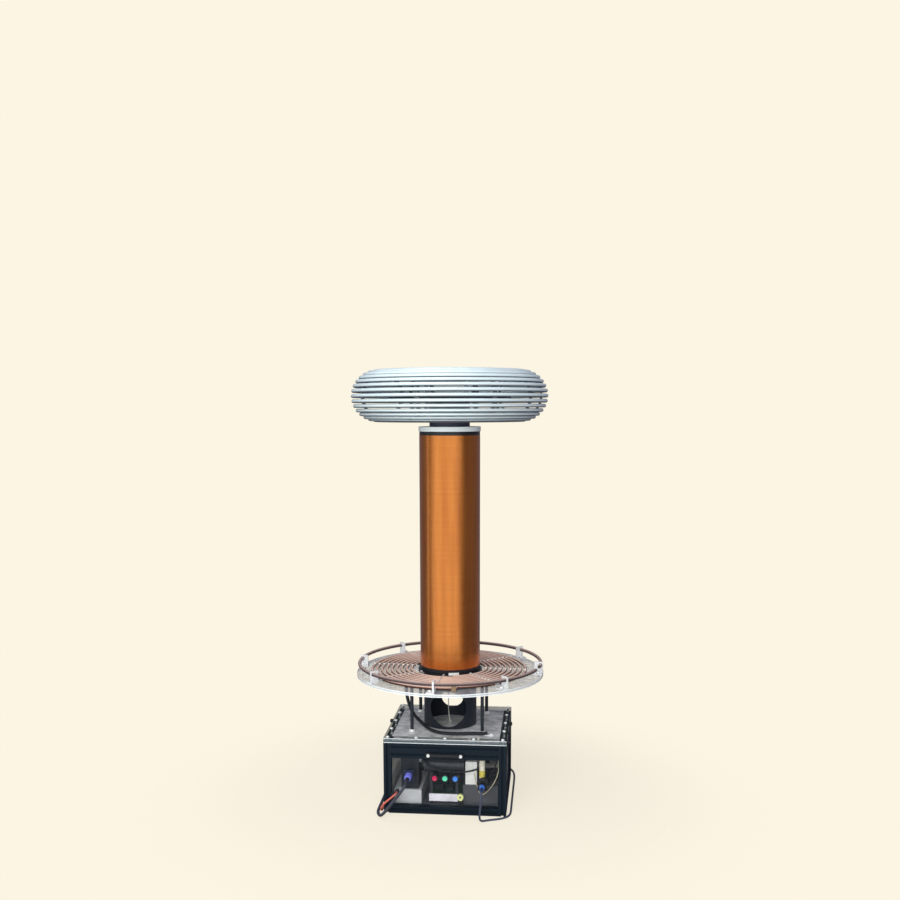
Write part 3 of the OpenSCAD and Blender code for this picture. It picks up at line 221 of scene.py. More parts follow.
def tube(name, line, diameter, material, body="case"):
    """A round tube along a line, as a curve of one open spline."""
    curve = bpy.data.curves.new(name, "CURVE")
    curve.dimensions = "3D"
    curve.bevel_depth = diameter / 2
    curve.bevel_resolution = 4
    curve.use_fill_caps = True
    spline = curve.splines.new("POLY")
    spline.points.add(len(line) - 1)
    for point, place in zip(spline.points, line):
        point.co = (*place, 1.0)
    spline.use_smooth = True
    curve.materials.append(material)
    obj = bpy.data.objects.new(name, curve)
    bpy.context.scene.collection.objects.link(obj)
    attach(obj, body)
    return obj


def metres(points):
    """Points written in millimetres."""
    return [Vector(p) * mm for p in points]


mains_grey = finish("mains cord jacket", (0.045, 0.05, 0.068), 0.5, mottle=0.3, patch=60.0)
mains_diameter = 0.008
mains_route = metres([
    (-95, -201, 100), (-95, -209, 100), (-97, -218, 96), (-102, -223, 88), (-109, -224, 78),
    (-117, -223, 67), (-126, -221, 55), (-134, -218, 44), (-142, -215, 33), (-150, -211, 22),
    (-158, -204, 12), (-165, -194, 6), (-171, -180, 4), (-175, -163, 4), (-176, -140, 4),
    (-176, -100, 4), (-176, -50, 4), (-176, 0, 4), (-176, 50, 4), (-176, 100, 4), (-176, 140, 4),
    (-176, 170, 4), (-175, 195, 4), (-172, 220, 4), (-169, 245, 4),
])
mains_coil_centre = (-0.110, 0.265)
mains_coil = stowed_coil(mains_coil_centre, middle_r=0.048, diameter=mains_diameter, turns=4.25, way=-1,
                         start=math.pi, tail=0.052, end_height=0.018)
mains_line = smooth_line(mains_route + mains_coil)
mains_cord = tube("mains_cord_run", mains_line, mains_diameter, mains_grey)
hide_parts("mains_cord", "mains_coil")

control_blue_grey = finish("control cord jacket", (0.055, 0.065, 0.105), 0.5, mottle=0.3, patch=60.0)
control_diameter = 0.0055
control_route = metres([
    (98, -203, 82), (98, -208, 82), (98, -214, 79), (98, -218, 72), (97.5, -219, 62),
    (97, -218.5, 50), (96, -217.5, 38), (95, -216, 27), (94.5, -214, 17), (96, -210, 9),
    (101, -204, 4), (109, -198, 3), (120, -193, 3), (133, -188, 3), (146, -182, 3),
    (157, -174, 3), (165, -163, 3), (169.5, -149, 3), (171, -130, 3), (171, -90, 3),
    (171, -40, 3), (171, 10, 3), (171, 60, 3), (171, 110, 3), (170, 145, 3), (166, 175, 3),
    (157, 200, 3), (146, 221, 3), (136, 241, 3), (132, 254, 3),
])
control_coil_centre = (0.090, 0.268)
control_coil = stowed_coil(control_coil_centre, middle_r=0.030, diameter=control_diameter, turns=7, way=1,
                           start=0.0, tail=0.034, end_height=0.009)
control_line = smooth_line(control_route + control_coil)
control_cord = tube("control_cord_run", control_line, control_diameter, control_blue_grey)
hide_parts("control_cord", "control_coil")

lead_red = finish("red lead jacket", (0.66, 0.15, 0.11), 0.42, mottle=0.2, patch=60.0)
lead_diameter = 0.005
lead_route = metres([
    (-126, -157.5, 56), (-126, -162.5, 56), (-129, -169, 54), (-135, -172.5, 49.5),
    (-143, -174, 43), (-151, -174.5, 36), (-158, -173.5, 29), (-163.5, -170.5, 21),
    (-166.5, -165, 13), (-167, -157, 6.5), (-166.5, -147, 3.5), (-166, -130, 3), (-166, -100, 3),
    (-166, -50, 3), (-166, 0, 3), (-166, 50, 3), (-166, 100, 3), (-166, 135, 3), (-166, 150, 3),
    (-165.5, 160, 3), (-161, 167.5, 3), (-152, 171.5, 3), (-140, 172, 3), (-120, 171, 3),
    (-90, 171, 3), (-60, 172, 3), (-36, 177, 3), (-16, 187, 3),
])
lead_coil_centre = (0.004, 0.228)
lead_coil = stowed_coil(lead_coil_centre, middle_r=0.0285, diameter=lead_diameter, turns=5, way=1,
                        start=1.5 * math.pi, tail=0.024, end_height=0.0095)
lead_line = smooth_line(lead_route + lead_coil)
red_lead = tube("red_lead_run", lead_line, lead_diameter, lead_red)
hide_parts("red_lead", "red_lead_coil")


def placed(name, shape, material, body="case", crease=35):
    """Makes a finished piece of a bmesh and lets it ride on its body."""
    mesh = bpy.data.meshes.new(name)
    shape.to_mesh(mesh)
    shape.free()
    mesh.materials.append(material)
    for polygon in mesh.polygons:
        polygon.use_smooth = True
    mesh.set_sharp_from_angle(angle=math.radians(crease))
    obj = bpy.data.objects.new(name, mesh)
    bpy.context.scene.collection.objects.link(obj)
    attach(obj, body)
    return obj


tie_rubber = finish("black tie strap", (0.015, 0.016, 0.02), 0.6, patch=80.0)
strap_width = 0.009
strap_thickness = 0.0008
strap_rounding = 0.3


def coil_strap(name, centre, angle, inner, outer, height):
    """A strap round a stowed coil's turns, closed under them on the floor."""
    shape = bmesh.new()
    across = Matrix.Translation((centre[0], centre[1], 0)) @ Matrix.Rotation(angle, 4, "Z")
    width = outer - inner
    bmesh.ops.create_grid(shape, x_segments=1, y_segments=1, size=0.5)
    bmesh.ops.scale(shape, vec=(width, height, 1.0), verts=shape.verts)
    bmesh.ops.bevel(shape, geom=shape.verts[:], offset=min(width, height) * strap_rounding, affect="VERTICES",
                    segments=4, profile=0.5, material=-1)
    bmesh.ops.delete(shape, geom=shape.faces[:], context="FACES_ONLY")
    run = bmesh.ops.extrude_edge_only(shape, edges=shape.edges[:])
    moved = [item for item in run["geom"] if isinstance(item, bmesh.types.BMVert)]
    bmesh.ops.translate(shape, vec=(0, 0, strap_width), verts=moved)
    bmesh.ops.translate(shape, vec=(0, 0, -strap_width / 2), verts=shape.verts)
    bmesh.ops.recalc_face_normals(shape, faces=shape.faces)
    bmesh.ops.solidify(shape, geom=shape.faces[:], thickness=strap_thickness)
    upright = Matrix.Translation(((inner + outer) / 2, 0, height / 2)) @ Matrix.Rotation(math.pi / 2, 4, "X")
    bmesh.ops.transform(shape, matrix=across @ upright, verts=shape.verts)
    bmesh.ops.recalc_face_normals(shape, faces=shape.faces)
    strap = placed(name, shape, tie_rubber)


coil_strap("mains_coil_strap", mains_coil_centre, math.radians(60), inner=0.0342, outer=0.0618,
           height=0.0175)
coil_strap("control_coil_strap", control_coil_centre, math.radians(120), inner=0.0157, outer=0.0443,
           height=0.0128)
coil_strap("red_coil_strap", lead_coil_centre, math.radians(90), inner=0.0182, outer=0.0388,
           height=0.0118)

# ---- Floor, backdrop and light ----
# A plain cream floor fades into a cream backdrop, and keeps the object's shadow. The light is soft. It
# comes mostly from the front, with a little from above and from both sides.
cream = (0.972, 0.912, 0.768)
floor_radius = 4.0
floor_bounce = 0.4
floor_glow = 0.72
fade_start = 0.35
fade_end = 0.9


def mixed(tree, share, a, b):
    """A mix node's result, of two colours or two numbers: the second one where the share is one."""
    step = tree.nodes.new("ShaderNodeMix")
    in_colour = any(isinstance(v, tuple) or getattr(v, "type", "") == "RGBA" for v in (a, b))
    step.data_type = "RGBA" if in_colour else "FLOAT"
    first = 6 if in_colour else 2
    for socket, value in ((step.inputs[0], share), (step.inputs[first], a), (step.inputs[first + 1], b)):
        if isinstance(value, bpy.types.NodeSocket):
            tree.links.new(value, socket)
        else:
            socket.default_value = (*value, 1.0) if isinstance(value, tuple) else value
    return step.outputs[2 if in_colour else 0]


def floor_material():
    """The backdrop's colour, shadowed near the object and clear further out, with a weaker bounce."""
    material = bpy.data.materials.new("cream floor")
    material.use_nodes = True
    tree = material.node_tree
    add = tree.nodes.new
    link = tree.links.new
    shader = tree.nodes["Principled BSDF"]
    shader.inputs["Roughness"].default_value = 1.0
    shader.inputs["Specular IOR Level"].default_value = 0.0
    path = add("ShaderNodeLightPath")
    camera_ray = path.outputs["Is Camera Ray"]
    dim_cream = tuple(floor_bounce * part for part in cream)
    link(mixed(tree, camera_ray, dim_cream, cream), shader.inputs["Base Color"])
    glow = add("ShaderNodeEmission")
    glow.inputs["Color"].default_value = (*cream, 1.0)
    lit = add("ShaderNodeMixShader")
    link(maths(tree, "MULTIPLY", camera_ray, floor_glow), lit.inputs[0])
    link(shader.outputs[0], lit.inputs[1])
    link(glow.outputs[0], lit.inputs[2])
    place = add("ShaderNodeTexCoord")
    reach = add("ShaderNodeVectorMath")
    reach.operation = "LENGTH"
    link(place.outputs["Object"], reach.inputs[0])
    fade = add("ShaderNodeMapRange")
    fade.inputs["From Min"].default_value = fade_start
    fade.inputs["From Max"].default_value = fade_end
    fade.interpolation_type = "SMOOTHSTEP"
    link(reach.outputs["Value"], fade.inputs["Value"])
    clear = add("ShaderNodeBsdfTransparent")
    edge = add("ShaderNodeMixShader")
    link(fade.outputs["Result"], edge.inputs[0])
    link(lit.outputs[0], edge.inputs[1])
    link(clear.outputs[0], edge.inputs[2])
    link(edge.outputs[0], tree.nodes["Material Output"].inputs["Surface"])
    return material


floor_shape = bmesh.new()
bmesh.ops.create_circle(floor_shape, cap_ends=True, segments=64, radius=floor_radius)
floor_mesh = bpy.data.meshes.new("floor")
floor_shape.to_mesh(floor_mesh)
floor_shape.free()
floor_mesh.materials.append(floor_material())
floor = bpy.data.objects.new("floor", floor_mesh)
bpy.context.scene.collection.objects.link(floor)


def parts_of(tree, vector):
    """The three parts of a vector, as the outputs of a node."""
    split = tree.nodes.new("ShaderNodeSeparateXYZ")
    tree.links.new(vector, split.inputs[0])
    return split.outputs


# The camera, also through clear parts, sees the plain backdrop. Other rays see a soft studio light: a
# wide window in front, a little light from above, and dim sides that darken the winding's edges.
window_middle = (-0.182, -0.983, 0.0)
side_tint = (0.80, 0.78, 1.0)
window_tint = (0.93, 0.98, 1.0)
world = bpy.data.worlds.new("cream backdrop")
bpy.context.scene.world = world
world.use_nodes = True
world_tree = world.node_tree
seen = world_tree.nodes["Background"]
seen.inputs["Color"].default_value = (*cream, 1.0)
ambient = world_tree.nodes.new("ShaderNodeBackground")
toward = world_tree.nodes.new("ShaderNodeTexCoord")
upward = parts_of(world_tree, toward.outputs["Generated"])["Z"]
window = world_tree.nodes.new("ShaderNodeVectorMath")
window.operation = "DOT_PRODUCT"
window.inputs[1].default_value = window_middle
world_tree.links.new(toward.outputs["Generated"], window.inputs[0])


def sky_share(level, low, high, out_low, out_high):
    """A smooth share of the light by how far a ray points one way."""
    share = world_tree.nodes.new("ShaderNodeMapRange")
    share.interpolation_type = "SMOOTHSTEP"
    for socket, value in zip(("From Min", "From Max", "To Min", "To Max"), (low, high, out_low, out_high)):
        share.inputs[socket].default_value = value
    world_tree.links.new(level, share.inputs["Value"])
    return share.outputs["Result"]


front_light = sky_share(window.outputs["Value"], low=0.50, high=0.60, out_low=0.20, out_high=1.0)
top_light = sky_share(upward, low=0.3, high=0.9, out_low=0.0, out_high=0.30)
low_light = sky_share(upward, low=-0.6, high=-0.2, out_low=0.4, out_high=1.0)
sky_level = maths(world_tree, "MULTIPLY", maths(world_tree, "ADD", front_light, top_light), low_light)
world_tree.links.new(sky_level, ambient.inputs["Strength"])
world_tree.links.new(mixed(world_tree, front_light, side_tint, window_tint), ambient.inputs["Color"])
ray = world_tree.nodes.new("ShaderNodeLightPath").outputs
sees_backdrop = maths(world_tree, "MAXIMUM", ray["Is Camera Ray"], ray["Is Transmission Ray"])
choice = world_tree.nodes.new("ShaderNodeMixShader")
world_tree.links.new(sees_backdrop, choice.inputs[0])
world_tree.links.new(ambient.outputs[0], choice.inputs[1])
world_tree.links.new(seen.outputs[0], choice.inputs[2])
world_tree.links.new(choice.outputs[0], world_tree.nodes["World Output"].inputs["Surface"])
lamp_target = (0, 0, 0.6)


def soft_lamp(name, place, size, power, color, mirrored=True):
    """An oblong lamp that faces the object, and may stay out of the shiny parts' reflections."""
    data = bpy.data.lights.new(name, "AREA")
    data.shape = "RECTANGLE"
    data.size = size[0]
    data.size_y = size[1]
    data.energy = power
    data.color = color
    lamp = bpy.data.objects.new(name, data)
    lamp.visible_glossy = mirrored
    facing = (Vector(lamp_target) - Vector(place)).to_track_quat("-Z", "Y")
    lamp.matrix_world = Matrix.Translation(place) @ facing.to_matrix().to_4x4()
    bpy.context.scene.collection.objects.link(lamp)


soft_lamp("key lamp", place=(-0.5, -3.2, 1.35), size=(2.0, 2.8), power=84, color=(1.0, 0.98, 0.95),
          mirrored=False)
soft_lamp("side lamp", place=(3.0, 0.9, 1.2), size=(2.4, 2.4), power=14, color=(1.0, 0.86, 1.0),
          mirrored=False)
soft_lamp("left strip", place=(-2.6, -0.25, 0.9), size=(0.28, 2.4), power=2.2, color=(0.92, 1.0, 0.98))
soft_lamp("top lamp", place=(-0.6, -0.4, 3.2), size=(1.6, 1.6), power=15, color=(0.92, 0.97, 1.0))
bpy.context.scene.view_settings.view_transform = "Standard"

# ---- Case frame ----
# Twelve lengths of black anodised slotted profile, cut square and joined at the corners. The wide
# top rails are of double section. A dark base plate lies in the bottom rails' slots.


def dress(node_names, material):
    """Gives CAD nodes their material."""
    for name in node_names:
        mesh = nodes[name].data
        mesh.materials.clear()
        mesh.materials.append(material)


anodised_black = finish("black anodised profile", (0.0065, 0.0125, 0.0205), 0.5, mottle=0.5,
                        patch=9.0, spread=0.2, grain=1500.0, height=0.00002, shine=0.17)
dress(["corner_posts", "top_rails", "bottom_rails"], anodised_black)
plate_grey = finish("base plate", (0.12, 0.124, 0.138), 0.5, mottle=0.4, patch=7.0)
dress(["base_plate"], plate_grey)

# ---- Clear panels ----
# Clear cast acrylic: four thin panels stand in the profiles' slots, and a thick one lies on top.
# Their cut edges carry painted highlight lines, and their faces carry a painted grey veil, a painted
# reflection of the room.
# Colour of the painted highlight lines along the cut edges.
highlight_color = (0.86, 0.90, 0.92)
highlight_alpha = 0.95


def clear_sheet(name, color, alpha, edge_color, edge_alpha, thin_axis, mottle=0.4, highlight_lines=None, reflection_field=None):
    """Clear acrylic: its cut edges are denser than its faces, with painted highlight lines at their corners
    (low end, high end, width); its faces carry a painted reflection as a grey veil, and a field inside a
    half width has a painted reflection of its own."""
    material = bpy.data.materials.new(name)
    material.use_nodes = True
    tree = material.node_tree
    link = tree.links.new
    shader = tree.nodes["Principled BSDF"]
    shader.inputs["Roughness"].default_value = 0.06
    shader.inputs["IOR"].default_value = 1.49

    place = tree.nodes.new("ShaderNodeTexCoord")
    facing = parts_of(tree, place.outputs["Normal"])[thin_axis]
    edge = maths(tree, "LESS_THAN", maths(tree, "ABSOLUTE", facing), 0.5)
    spot = parts_of(tree, place.outputs["Object"])
    smudge = tree.nodes.new("ShaderNodeTexNoise")
    smudge.inputs["Scale"].default_value = 38.0
    smudge.inputs["Detail"].default_value = 6.0
    link(place.outputs["Object"], smudge.inputs["Vector"])
    veil = tree.nodes.new("ShaderNodeMapRange")
    veil.inputs["From Min"].default_value = 0.3
    veil.inputs["From Max"].default_value = 0.7
    veil.inputs["To Min"].default_value = 1.0 - mottle
    veil.inputs["To Max"].default_value = 1.0 + mottle
    link(smudge.outputs["Fac"], veil.inputs["Value"])
    face_color, face_alpha, rim_color, rim_alpha = color, alpha, edge_color, edge_alpha
    # The field's pale colour is a painted reflection.
    if reflection_field:
        half, reflection_color, reflection_alpha = reflection_field
        reach = maths(tree, "MAXIMUM", maths(tree, "ABSOLUTE", spot["X"]), maths(tree, "ABSOLUTE", spot["Y"]))
        inside = maths(tree, "LESS_THAN", reach, half)
        face_color = mixed(tree, inside, color, reflection_color)
        face_alpha = mixed(tree, inside, alpha, reflection_alpha)
    face_alpha = maths(tree, "MULTIPLY", face_alpha, veil.outputs["Result"])
    # Painted highlight lines at the cut edges' corners.
    if highlight_lines:
        low, high, width = highlight_lines
        off = maths(tree, "ABSOLUTE", maths(tree, "SUBTRACT", spot["Z"], (low + high) / 2))
        line = maths(tree, "GREATER_THAN", off, (high - low) / 2 - width)
        rim_color = mixed(tree, line, edge_color, highlight_color)
        rim_alpha = mixed(tree, line, edge_alpha, highlight_alpha)
    link(mixed(tree, edge, face_color, rim_color), shader.inputs["Base Color"])
    link(mixed(tree, edge, face_alpha, rim_alpha), shader.inputs["Alpha"])
    return material


edge_grey = (0.42, 0.46, 0.48)
# The faces' grey colours are a painted reflection of the room.
dress(["front_panel"], clear_sheet("clear front", (0.08, 0.10, 0.12), 0.04, edge_grey, 0.5, "Y"))
dress(["back_panel"], clear_sheet("clear back", (0.62, 0.63, 0.62), 0.72, edge_grey, 0.7, "Y", mottle=0.15))
dress(["side_panels"], clear_sheet("clear sides", (0.82, 0.84, 0.83), 0.74, edge_grey, 0.7, "X", mottle=0.15))
dress(["top_plate"], clear_sheet(
    "clear top", (0.09, 0.15, 0.13), 0.20, (0.14, 0.17, 0.19), 0.66, "Z", mottle=0.5,
    highlight_lines=(0.190, 0.202, 0.0014), reflection_field=(0.140, (0.90, 0.92, 0.91), 0.72),
))

# ---- Bright bolts ----
# Round-headed socket bolts of bright stainless steel: sixteen round the top plate into the rails,
# two through the handle, four through the disc and two for the cables. Slot nuts hold twelve of them.
bright_steel = finish("bright stainless steel", (0.92, 0.94, 0.95), 0.35, metallic=0.25, mottle=0.1,
                      patch=200.0)
dress(["bright_bolts"], bright_steel)

# ---- Handle and buffers ----
# A black moulded bail handle is bolted to the front rail, and four rubber buffers stand on the
# top plate's sides. The red lead comes out through a rubber grommet.
handle_black = finish("black handle plastic", (0.010, 0.012, 0.016), 0.6, mottle=0.3, patch=40.0)
buffer_rubber = finish("black buffer rubber", (0.018, 0.02, 0.026), 0.7, mottle=0.3, patch=80.0)
dress(["carry_handle"], handle_black)
dress(["side_buffers", "lead_grommet"], buffer_rubber)

# ---- Push-buttons ----
# Three round push-buttons, red, green and blue. Their domed caps of glossy plastic slide in black
# housings, which nuts hold in the front panel.
turned_steps = 40
weld = 1e-6


def turned(name, profile, centre, axis, material, body="case"):
    """A piece turned on a lathe: the profile lists radius and distance along the axis, from the centre."""
    shape = bmesh.new()
    along = Vector(axis).normalized()
    side = along.orthogonal().normalized()
    centre = Vector(centre)
    verts = [shape.verts.new(centre + side * r + along * h) for r, h in profile]
    edges = [shape.edges.new(pair) for pair in zip(verts, verts[1:])]
    bmesh.ops.spin(shape, geom=verts + edges, cent=centre, axis=along, angle=2 * math.pi, steps=turned_steps,
                   use_merge=True)
    bmesh.ops.remove_doubles(shape, verts=shape.verts, dist=weld)
    bmesh.ops.recalc_face_normals(shape, faces=shape.faces)
    return placed(name, shape, material, body)


housing_black = finish("black button housing", (0.014, 0.016, 0.02), 0.35, mottle=0.2, patch=80.0)
dress(["button_housings"], housing_black)
button_caps = (
    ("red", (0.58, 0.014, 0.085)),
    ("green", (0.10, 0.70, 0.42)),
    ("blue", (0.045, 0.22, 0.76)),
)
cap_radius = 0.0067
for colour_name, colour in button_caps:
    node = colour_name + "_button"
    low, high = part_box(node)
    middle = ((low[0] + high[0]) / 2, low[1], (low[2] + high[2]) / 2)
    depth = high[1] - low[1]
    lens = finish(colour_name + " button lens", colour, 0.18, mottle=0.12, patch=90.0, coat=0.6)
    cap = turned(colour_name + "_button_cap", [
        (0.0, 0.0008), (0.0030, 0.0006), (0.0048, 0.0001), (0.0057, 0.0), (0.0064, 0.0004),
        (cap_radius, 0.0012), (cap_radius, depth), (0.0, depth),
    ], middle, (0, 1, 0), lens, body=node)
    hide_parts(node)

# ---- Connectors and plugs ----
# Two round bayonet connectors in moulded blue plastic, with ribbed boots, stand in dark flanged
# inlets. Each cord's far end carries its own plug.
navy_inlet = finish("navy inlet plastic", (0.012, 0.018, 0.05), 0.4, patch=60.0)
black_inlet = finish("black inlet plastic", (0.014, 0.016, 0.02), 0.4, patch=60.0)
dress(["mains_inlet"], navy_inlet)
dress(["control_inlet", "mains_plug", "control_plug"], black_inlet)
blue_body = finish("violet blue connector plastic", (0.24, 0.26, 0.95), 0.25, mottle=0.15, patch=90.0,
                   coat=0.6)
deep_blue_body = finish("deep blue connector plastic", (0.06, 0.20, 0.72), 0.25, mottle=0.15, patch=90.0,
                        coat=0.6)
boot_rubber = finish("black boot rubber", (0.02, 0.022, 0.03), 0.6, patch=80.0)
dress(["red_lead_plug"], lead_red)
blue_boot = finish("dark blue boot rubber", (0.012, 0.03, 0.12), 0.5, patch=80.0)
inlet_face = -0.155
mains_at = (-0.095, inlet_face, 0.100)
control_at = (0.098, inlet_face, 0.082)
outward = (0, -1, 0)
groove_share = 0.88
lip_share = 0.99
groove_width = 0.0024


def ribbed(root, tip, start, end, ribs=4):
    """Profile of a tapered boot with grooves round it."""
    profile = [(0.0, start), (root, start)]
    for i in range(ribs):
        a = start + (end - start) * (i + 0.5) / (ribs + 0.5)
        r = root + (tip - root) * (i + 0.5) / (ribs + 0.5)
        profile += [
            (r, a), (r * groove_share, a + groove_width * 0.25), (r * groove_share, a + groove_width * 0.75),
            (r * lip_share, a + groove_width),
        ]
    return profile + [(tip, end), (0.0, end)]


mains_body = turned("mains_connector_body", [
    (0.0, 0.0), (0.0095, 0.0), (0.0095, 0.003), (0.0089, 0.0036), (0.0089, 0.005), (0.0095, 0.0056),
    (0.0095, 0.0132), (0.0092, 0.0155), (0.0079, 0.0230), (0.0074, 0.0240), (0.0, 0.0240),
], mains_at, outward, blue_body)
mains_boot = turned("mains_connector_boot", ribbed(root=0.0059, tip=0.00475, start=0.024, end=0.046),
                    mains_at, outward, boot_rubber)
control_collar = turned("control_connector_collar", [
    (0.0, 0.0), (0.0075, 0.0), (0.0075, 0.0022), (0.0070, 0.0028), (0.0070, 0.0040), (0.0075, 0.0046),
    (0.0075, 0.0152), (0.0070, 0.0160), (0.0, 0.0160),
], control_at, outward, black_inlet)
control_body = turned("control_connector_body", [
    (0.0, 0.0160), (0.0072, 0.0160), (0.0072, 0.0230), (0.0062, 0.0272), (0.0056, 0.0280), (0.0, 0.0280),
], control_at, outward, deep_blue_body)
control_boot = turned("control_connector_boot", ribbed(root=0.00465, tip=0.0035, start=0.028, end=0.048),
                      control_at, outward, blue_boot)
for piece, node, slot in (
    (mains_body, "mains_connector", "blue_plastic"),
    (mains_boot, "mains_connector", "black_rubber"),
    (control_collar, "control_connector", "black_plastic"),
    (control_body, "control_connector", "blue_plastic"),
    (control_boot, "control_connector", "navy_plastic"),
):
    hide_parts(node)

# ---- Electronics ----
# A folded aluminium supply, a potted mains filter, a lying bus capacitor in two straps, a finned
# heatsink with two black modules, white resonant capacitors and a green driver board.


def surface_of(material):
    """A finish's node of the shared surface group."""
    return next(node for node in material.node_tree.nodes if node.type == "GROUP")


def parted(name, color, roughness, parts, **kinds):
    """A finish whose colour changes inside boxes, each a low corner, a high corner and a colour, in mm."""
    material = finish(name, color, roughness, **kinds)
    tree = material.node_tree
    place = tree.nodes.new("ShaderNodeTexCoord")
    shade = color

    def vector(operation, a, b=(0, 0, 0)):
        step = tree.nodes.new("ShaderNodeVectorMath")
        step.operation = operation
        step.inputs[1].default_value = b
        tree.links.new(a, step.inputs[0])
        return step.outputs[0]

    for low, high, part_color in parts:
        middle = [(a + b) / 2 * mm for a, b in zip(low, high)]
        half = [(b - a) / 2 * mm for a, b in zip(low, high)]
        off = vector("ABSOLUTE", vector("SUBTRACT", place.outputs["Object"], middle))
        beyond = parts_of(tree, vector("SUBTRACT", off, half))
        most = maths(tree, "MAXIMUM", maths(tree, "MAXIMUM", beyond[0], beyond[1]), beyond[2])
        shade = mixed(tree, maths(tree, "LESS_THAN", most, 0.0), shade, part_color)
    tree.links.new(shade, surface_of(material).inputs["Color"])
    return material


paint_margin = 0.3


def around(node):
    """A node's box in mm, a little wider than the node, for its coloured parts."""
    low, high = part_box(node)
    return tuple(v / mm - paint_margin for v in low), tuple(v / mm + paint_margin for v in high)


mill_aluminium = finish("mill aluminium", (0.66, 0.68, 0.70), 0.42, metallic=0.05, mottle=0.3, patch=24.0)
dress(["supply_case"], mill_aluminium)
filter_low, filter_high = around("mains_filter")
end_plate = 5.2
potted_black = parted("potted filter case", (0.016, 0.020, 0.028), 0.45, [
    ((filter_high[0] - end_plate, filter_low[1], filter_low[2]), filter_high, (0.70, 0.72, 0.74)),
], patch=30.0)
dress(["mains_filter"], potted_black)
sleeve_dark = finish("dark capacitor sleeve", (0.030, 0.036, 0.046), 0.34, mottle=0.25, patch=30.0, coat=0.2)
dress(["bus_capacitor"], sleeve_dark)
tank_low, tank_high = around("tank_capacitors")
can_left = 85.0
can_bands = (
    (tank_low[2], tank_high[2], (0.84, 0.80, 0.66)),
    (86.0, 104.0, (0.72, 0.62, 0.12)),
    (80.0, 83.0, (0.03, 0.03, 0.03)),
)
capacitor_white = parted("white capacitor case", (0.86, 0.87, 0.84), 0.5, [
    ((can_left, tank_low[1], foot), (tank_high[0], tank_high[1], head), band_color)
    for foot, head, band_color in can_bands
], mottle=0.35, patch=140.0)
dress(["tank_capacitors"], capacitor_white)
fin_black = finish("dark anodised fins", (0.085, 0.09, 0.10), 0.5, patch=20.0)
module_black = finish("black module plastic", (0.02, 0.022, 0.026), 0.35, patch=40.0)
dress(["heatsink"], fin_black)
dress(["bridge_modules"], module_black)
board_low, board_high = around("driver_board")
plate_back = board_low[1] + 3.7
board_foot = 25.9
board_green = parted("green circuit board", (0.06, 0.115, 0.085), 0.45, [
    (board_low, (board_high[0], plate_back, board_high[2]), (0.84, 0.82, 0.90)),
    ((board_low[0], plate_back, board_foot), board_high, (0.05, 0.055, 0.065)),
], mottle=0.6, patch=90.0)
dress(["driver_board"], board_green)
ring_low, ring_high = around("current_transformer")
ring_foot_top = 28.0
ring_yellow = parted("pale yellow ring core", (0.90, 0.94, 0.42), 0.45, [
    (ring_low, (ring_high[0], ring_high[1], ring_foot_top), (0.03, 0.03, 0.03)),
], mottle=0.3, patch=120.0)
dress(["current_transformer"], ring_yellow)
wire_black = finish("black wire sleeve", (0.010, 0.012, 0.015), 0.4, patch=80.0)
dress(["inner_wiring"], wire_black)

wire_beige = finish("beige wire sleeve", (0.52, 0.48, 0.34), 0.45, mottle=0.15, patch=80.0)
beige_loop = smooth_line(metres([
    (118.5, -112.5, 188.5), (122, -114, 182), (129, -119, 170), (135, -125, 158), (137.5, -133, 150),
    (138.5, -139, 143), (139, -141, 131), (138.5, -141, 117), (136, -141, 104), (130.6, -141, 90),
    (124, -141, 78), (116.5, -141, 67.5), (110, -141, 60), (104, -141, 54.2), (97, -141, 51.5),
    (91, -141, 54), (87, -141, 61), (84.6, -141, 68.9), (81.5, -140, 78), (78.7, -137, 86),
    (76.5, -128, 92), (75, -118, 95), (74.5, -110.5, 96),
]))
beige_diameter = 0.0024
wire = tube("beige_wire", beige_loop, beige_diameter, wire_beige)

# ---- Fan ----
# A square fan of black moulded plastic sits at the back panel's round hole. Its rotor turns inside
# the frame.
fan_black = finish("black fan plastic", (0.02, 0.022, 0.026), 0.42, patch=50.0)
dress(["fan_frame", "fan_rotor"], fan_black)

# ---- Stand ----
# A short length of black pipe with a round window in front and behind carries the coils, with four
# black rods round it. White nylon nuts and screws hold the rods and the round plate. The thick feed
# cable and a thin earth wire come up from the top plate.
pipe_black = finish("black pipe", (0.010, 0.015, 0.022), 0.42, mottle=0.4, patch=12.0)
nylon_white = finish("white nylon", (0.80, 0.81, 0.79), 0.4, mottle=0.1, patch=80.0)
dress(["stand_pipe", "pillars"], pipe_black)
dress(["nylon_screws"], nylon_white)
earth_grey = finish("grey earth wire", (0.42, 0.43, 0.38), 0.45, mottle=0.2, patch=80.0)
dress(["earth_wire"], earth_grey)

feed_line = smooth_line(metres([
    (-122, 4, 339), (-122, 4, 323), (-121, 3, 295), (-118, 0, 269), (-108, -14, 244), (-92, -38, 228),
    (-73, -64, 219), (-55, -83, 211), (-36, -101, 207), (-14, -116, 207), (16, -121, 207),
    (46, -119, 207), (76, -115, 207), (100, -113, 207), (108, -112, 207),
]))
feed_diameter = 0.009
lug_at = (0.118, -0.112, 0.202)
lug_radius = 0.008
lug_height = 0.002
tongue_size = (0.015, 0.007, 0.0018)
tongue_offset = (-0.0095, 0, 0.001)
lug_rounding = 0.0003
feed_run = tube("feed_cable_run", feed_line, feed_diameter, wire_black)
shape = bmesh.new()
bmesh.ops.create_circle(shape, cap_ends=True, segments=32, radius=lug_radius)
disc = bmesh.ops.extrude_face_region(shape, geom=shape.faces[:])
raised = [item for item in disc["geom"] if isinstance(item, bmesh.types.BMVert)]
bmesh.ops.translate(shape, vec=(0, 0, lug_height), verts=raised)
tongue = bmesh.ops.create_cube(shape, size=1.0)
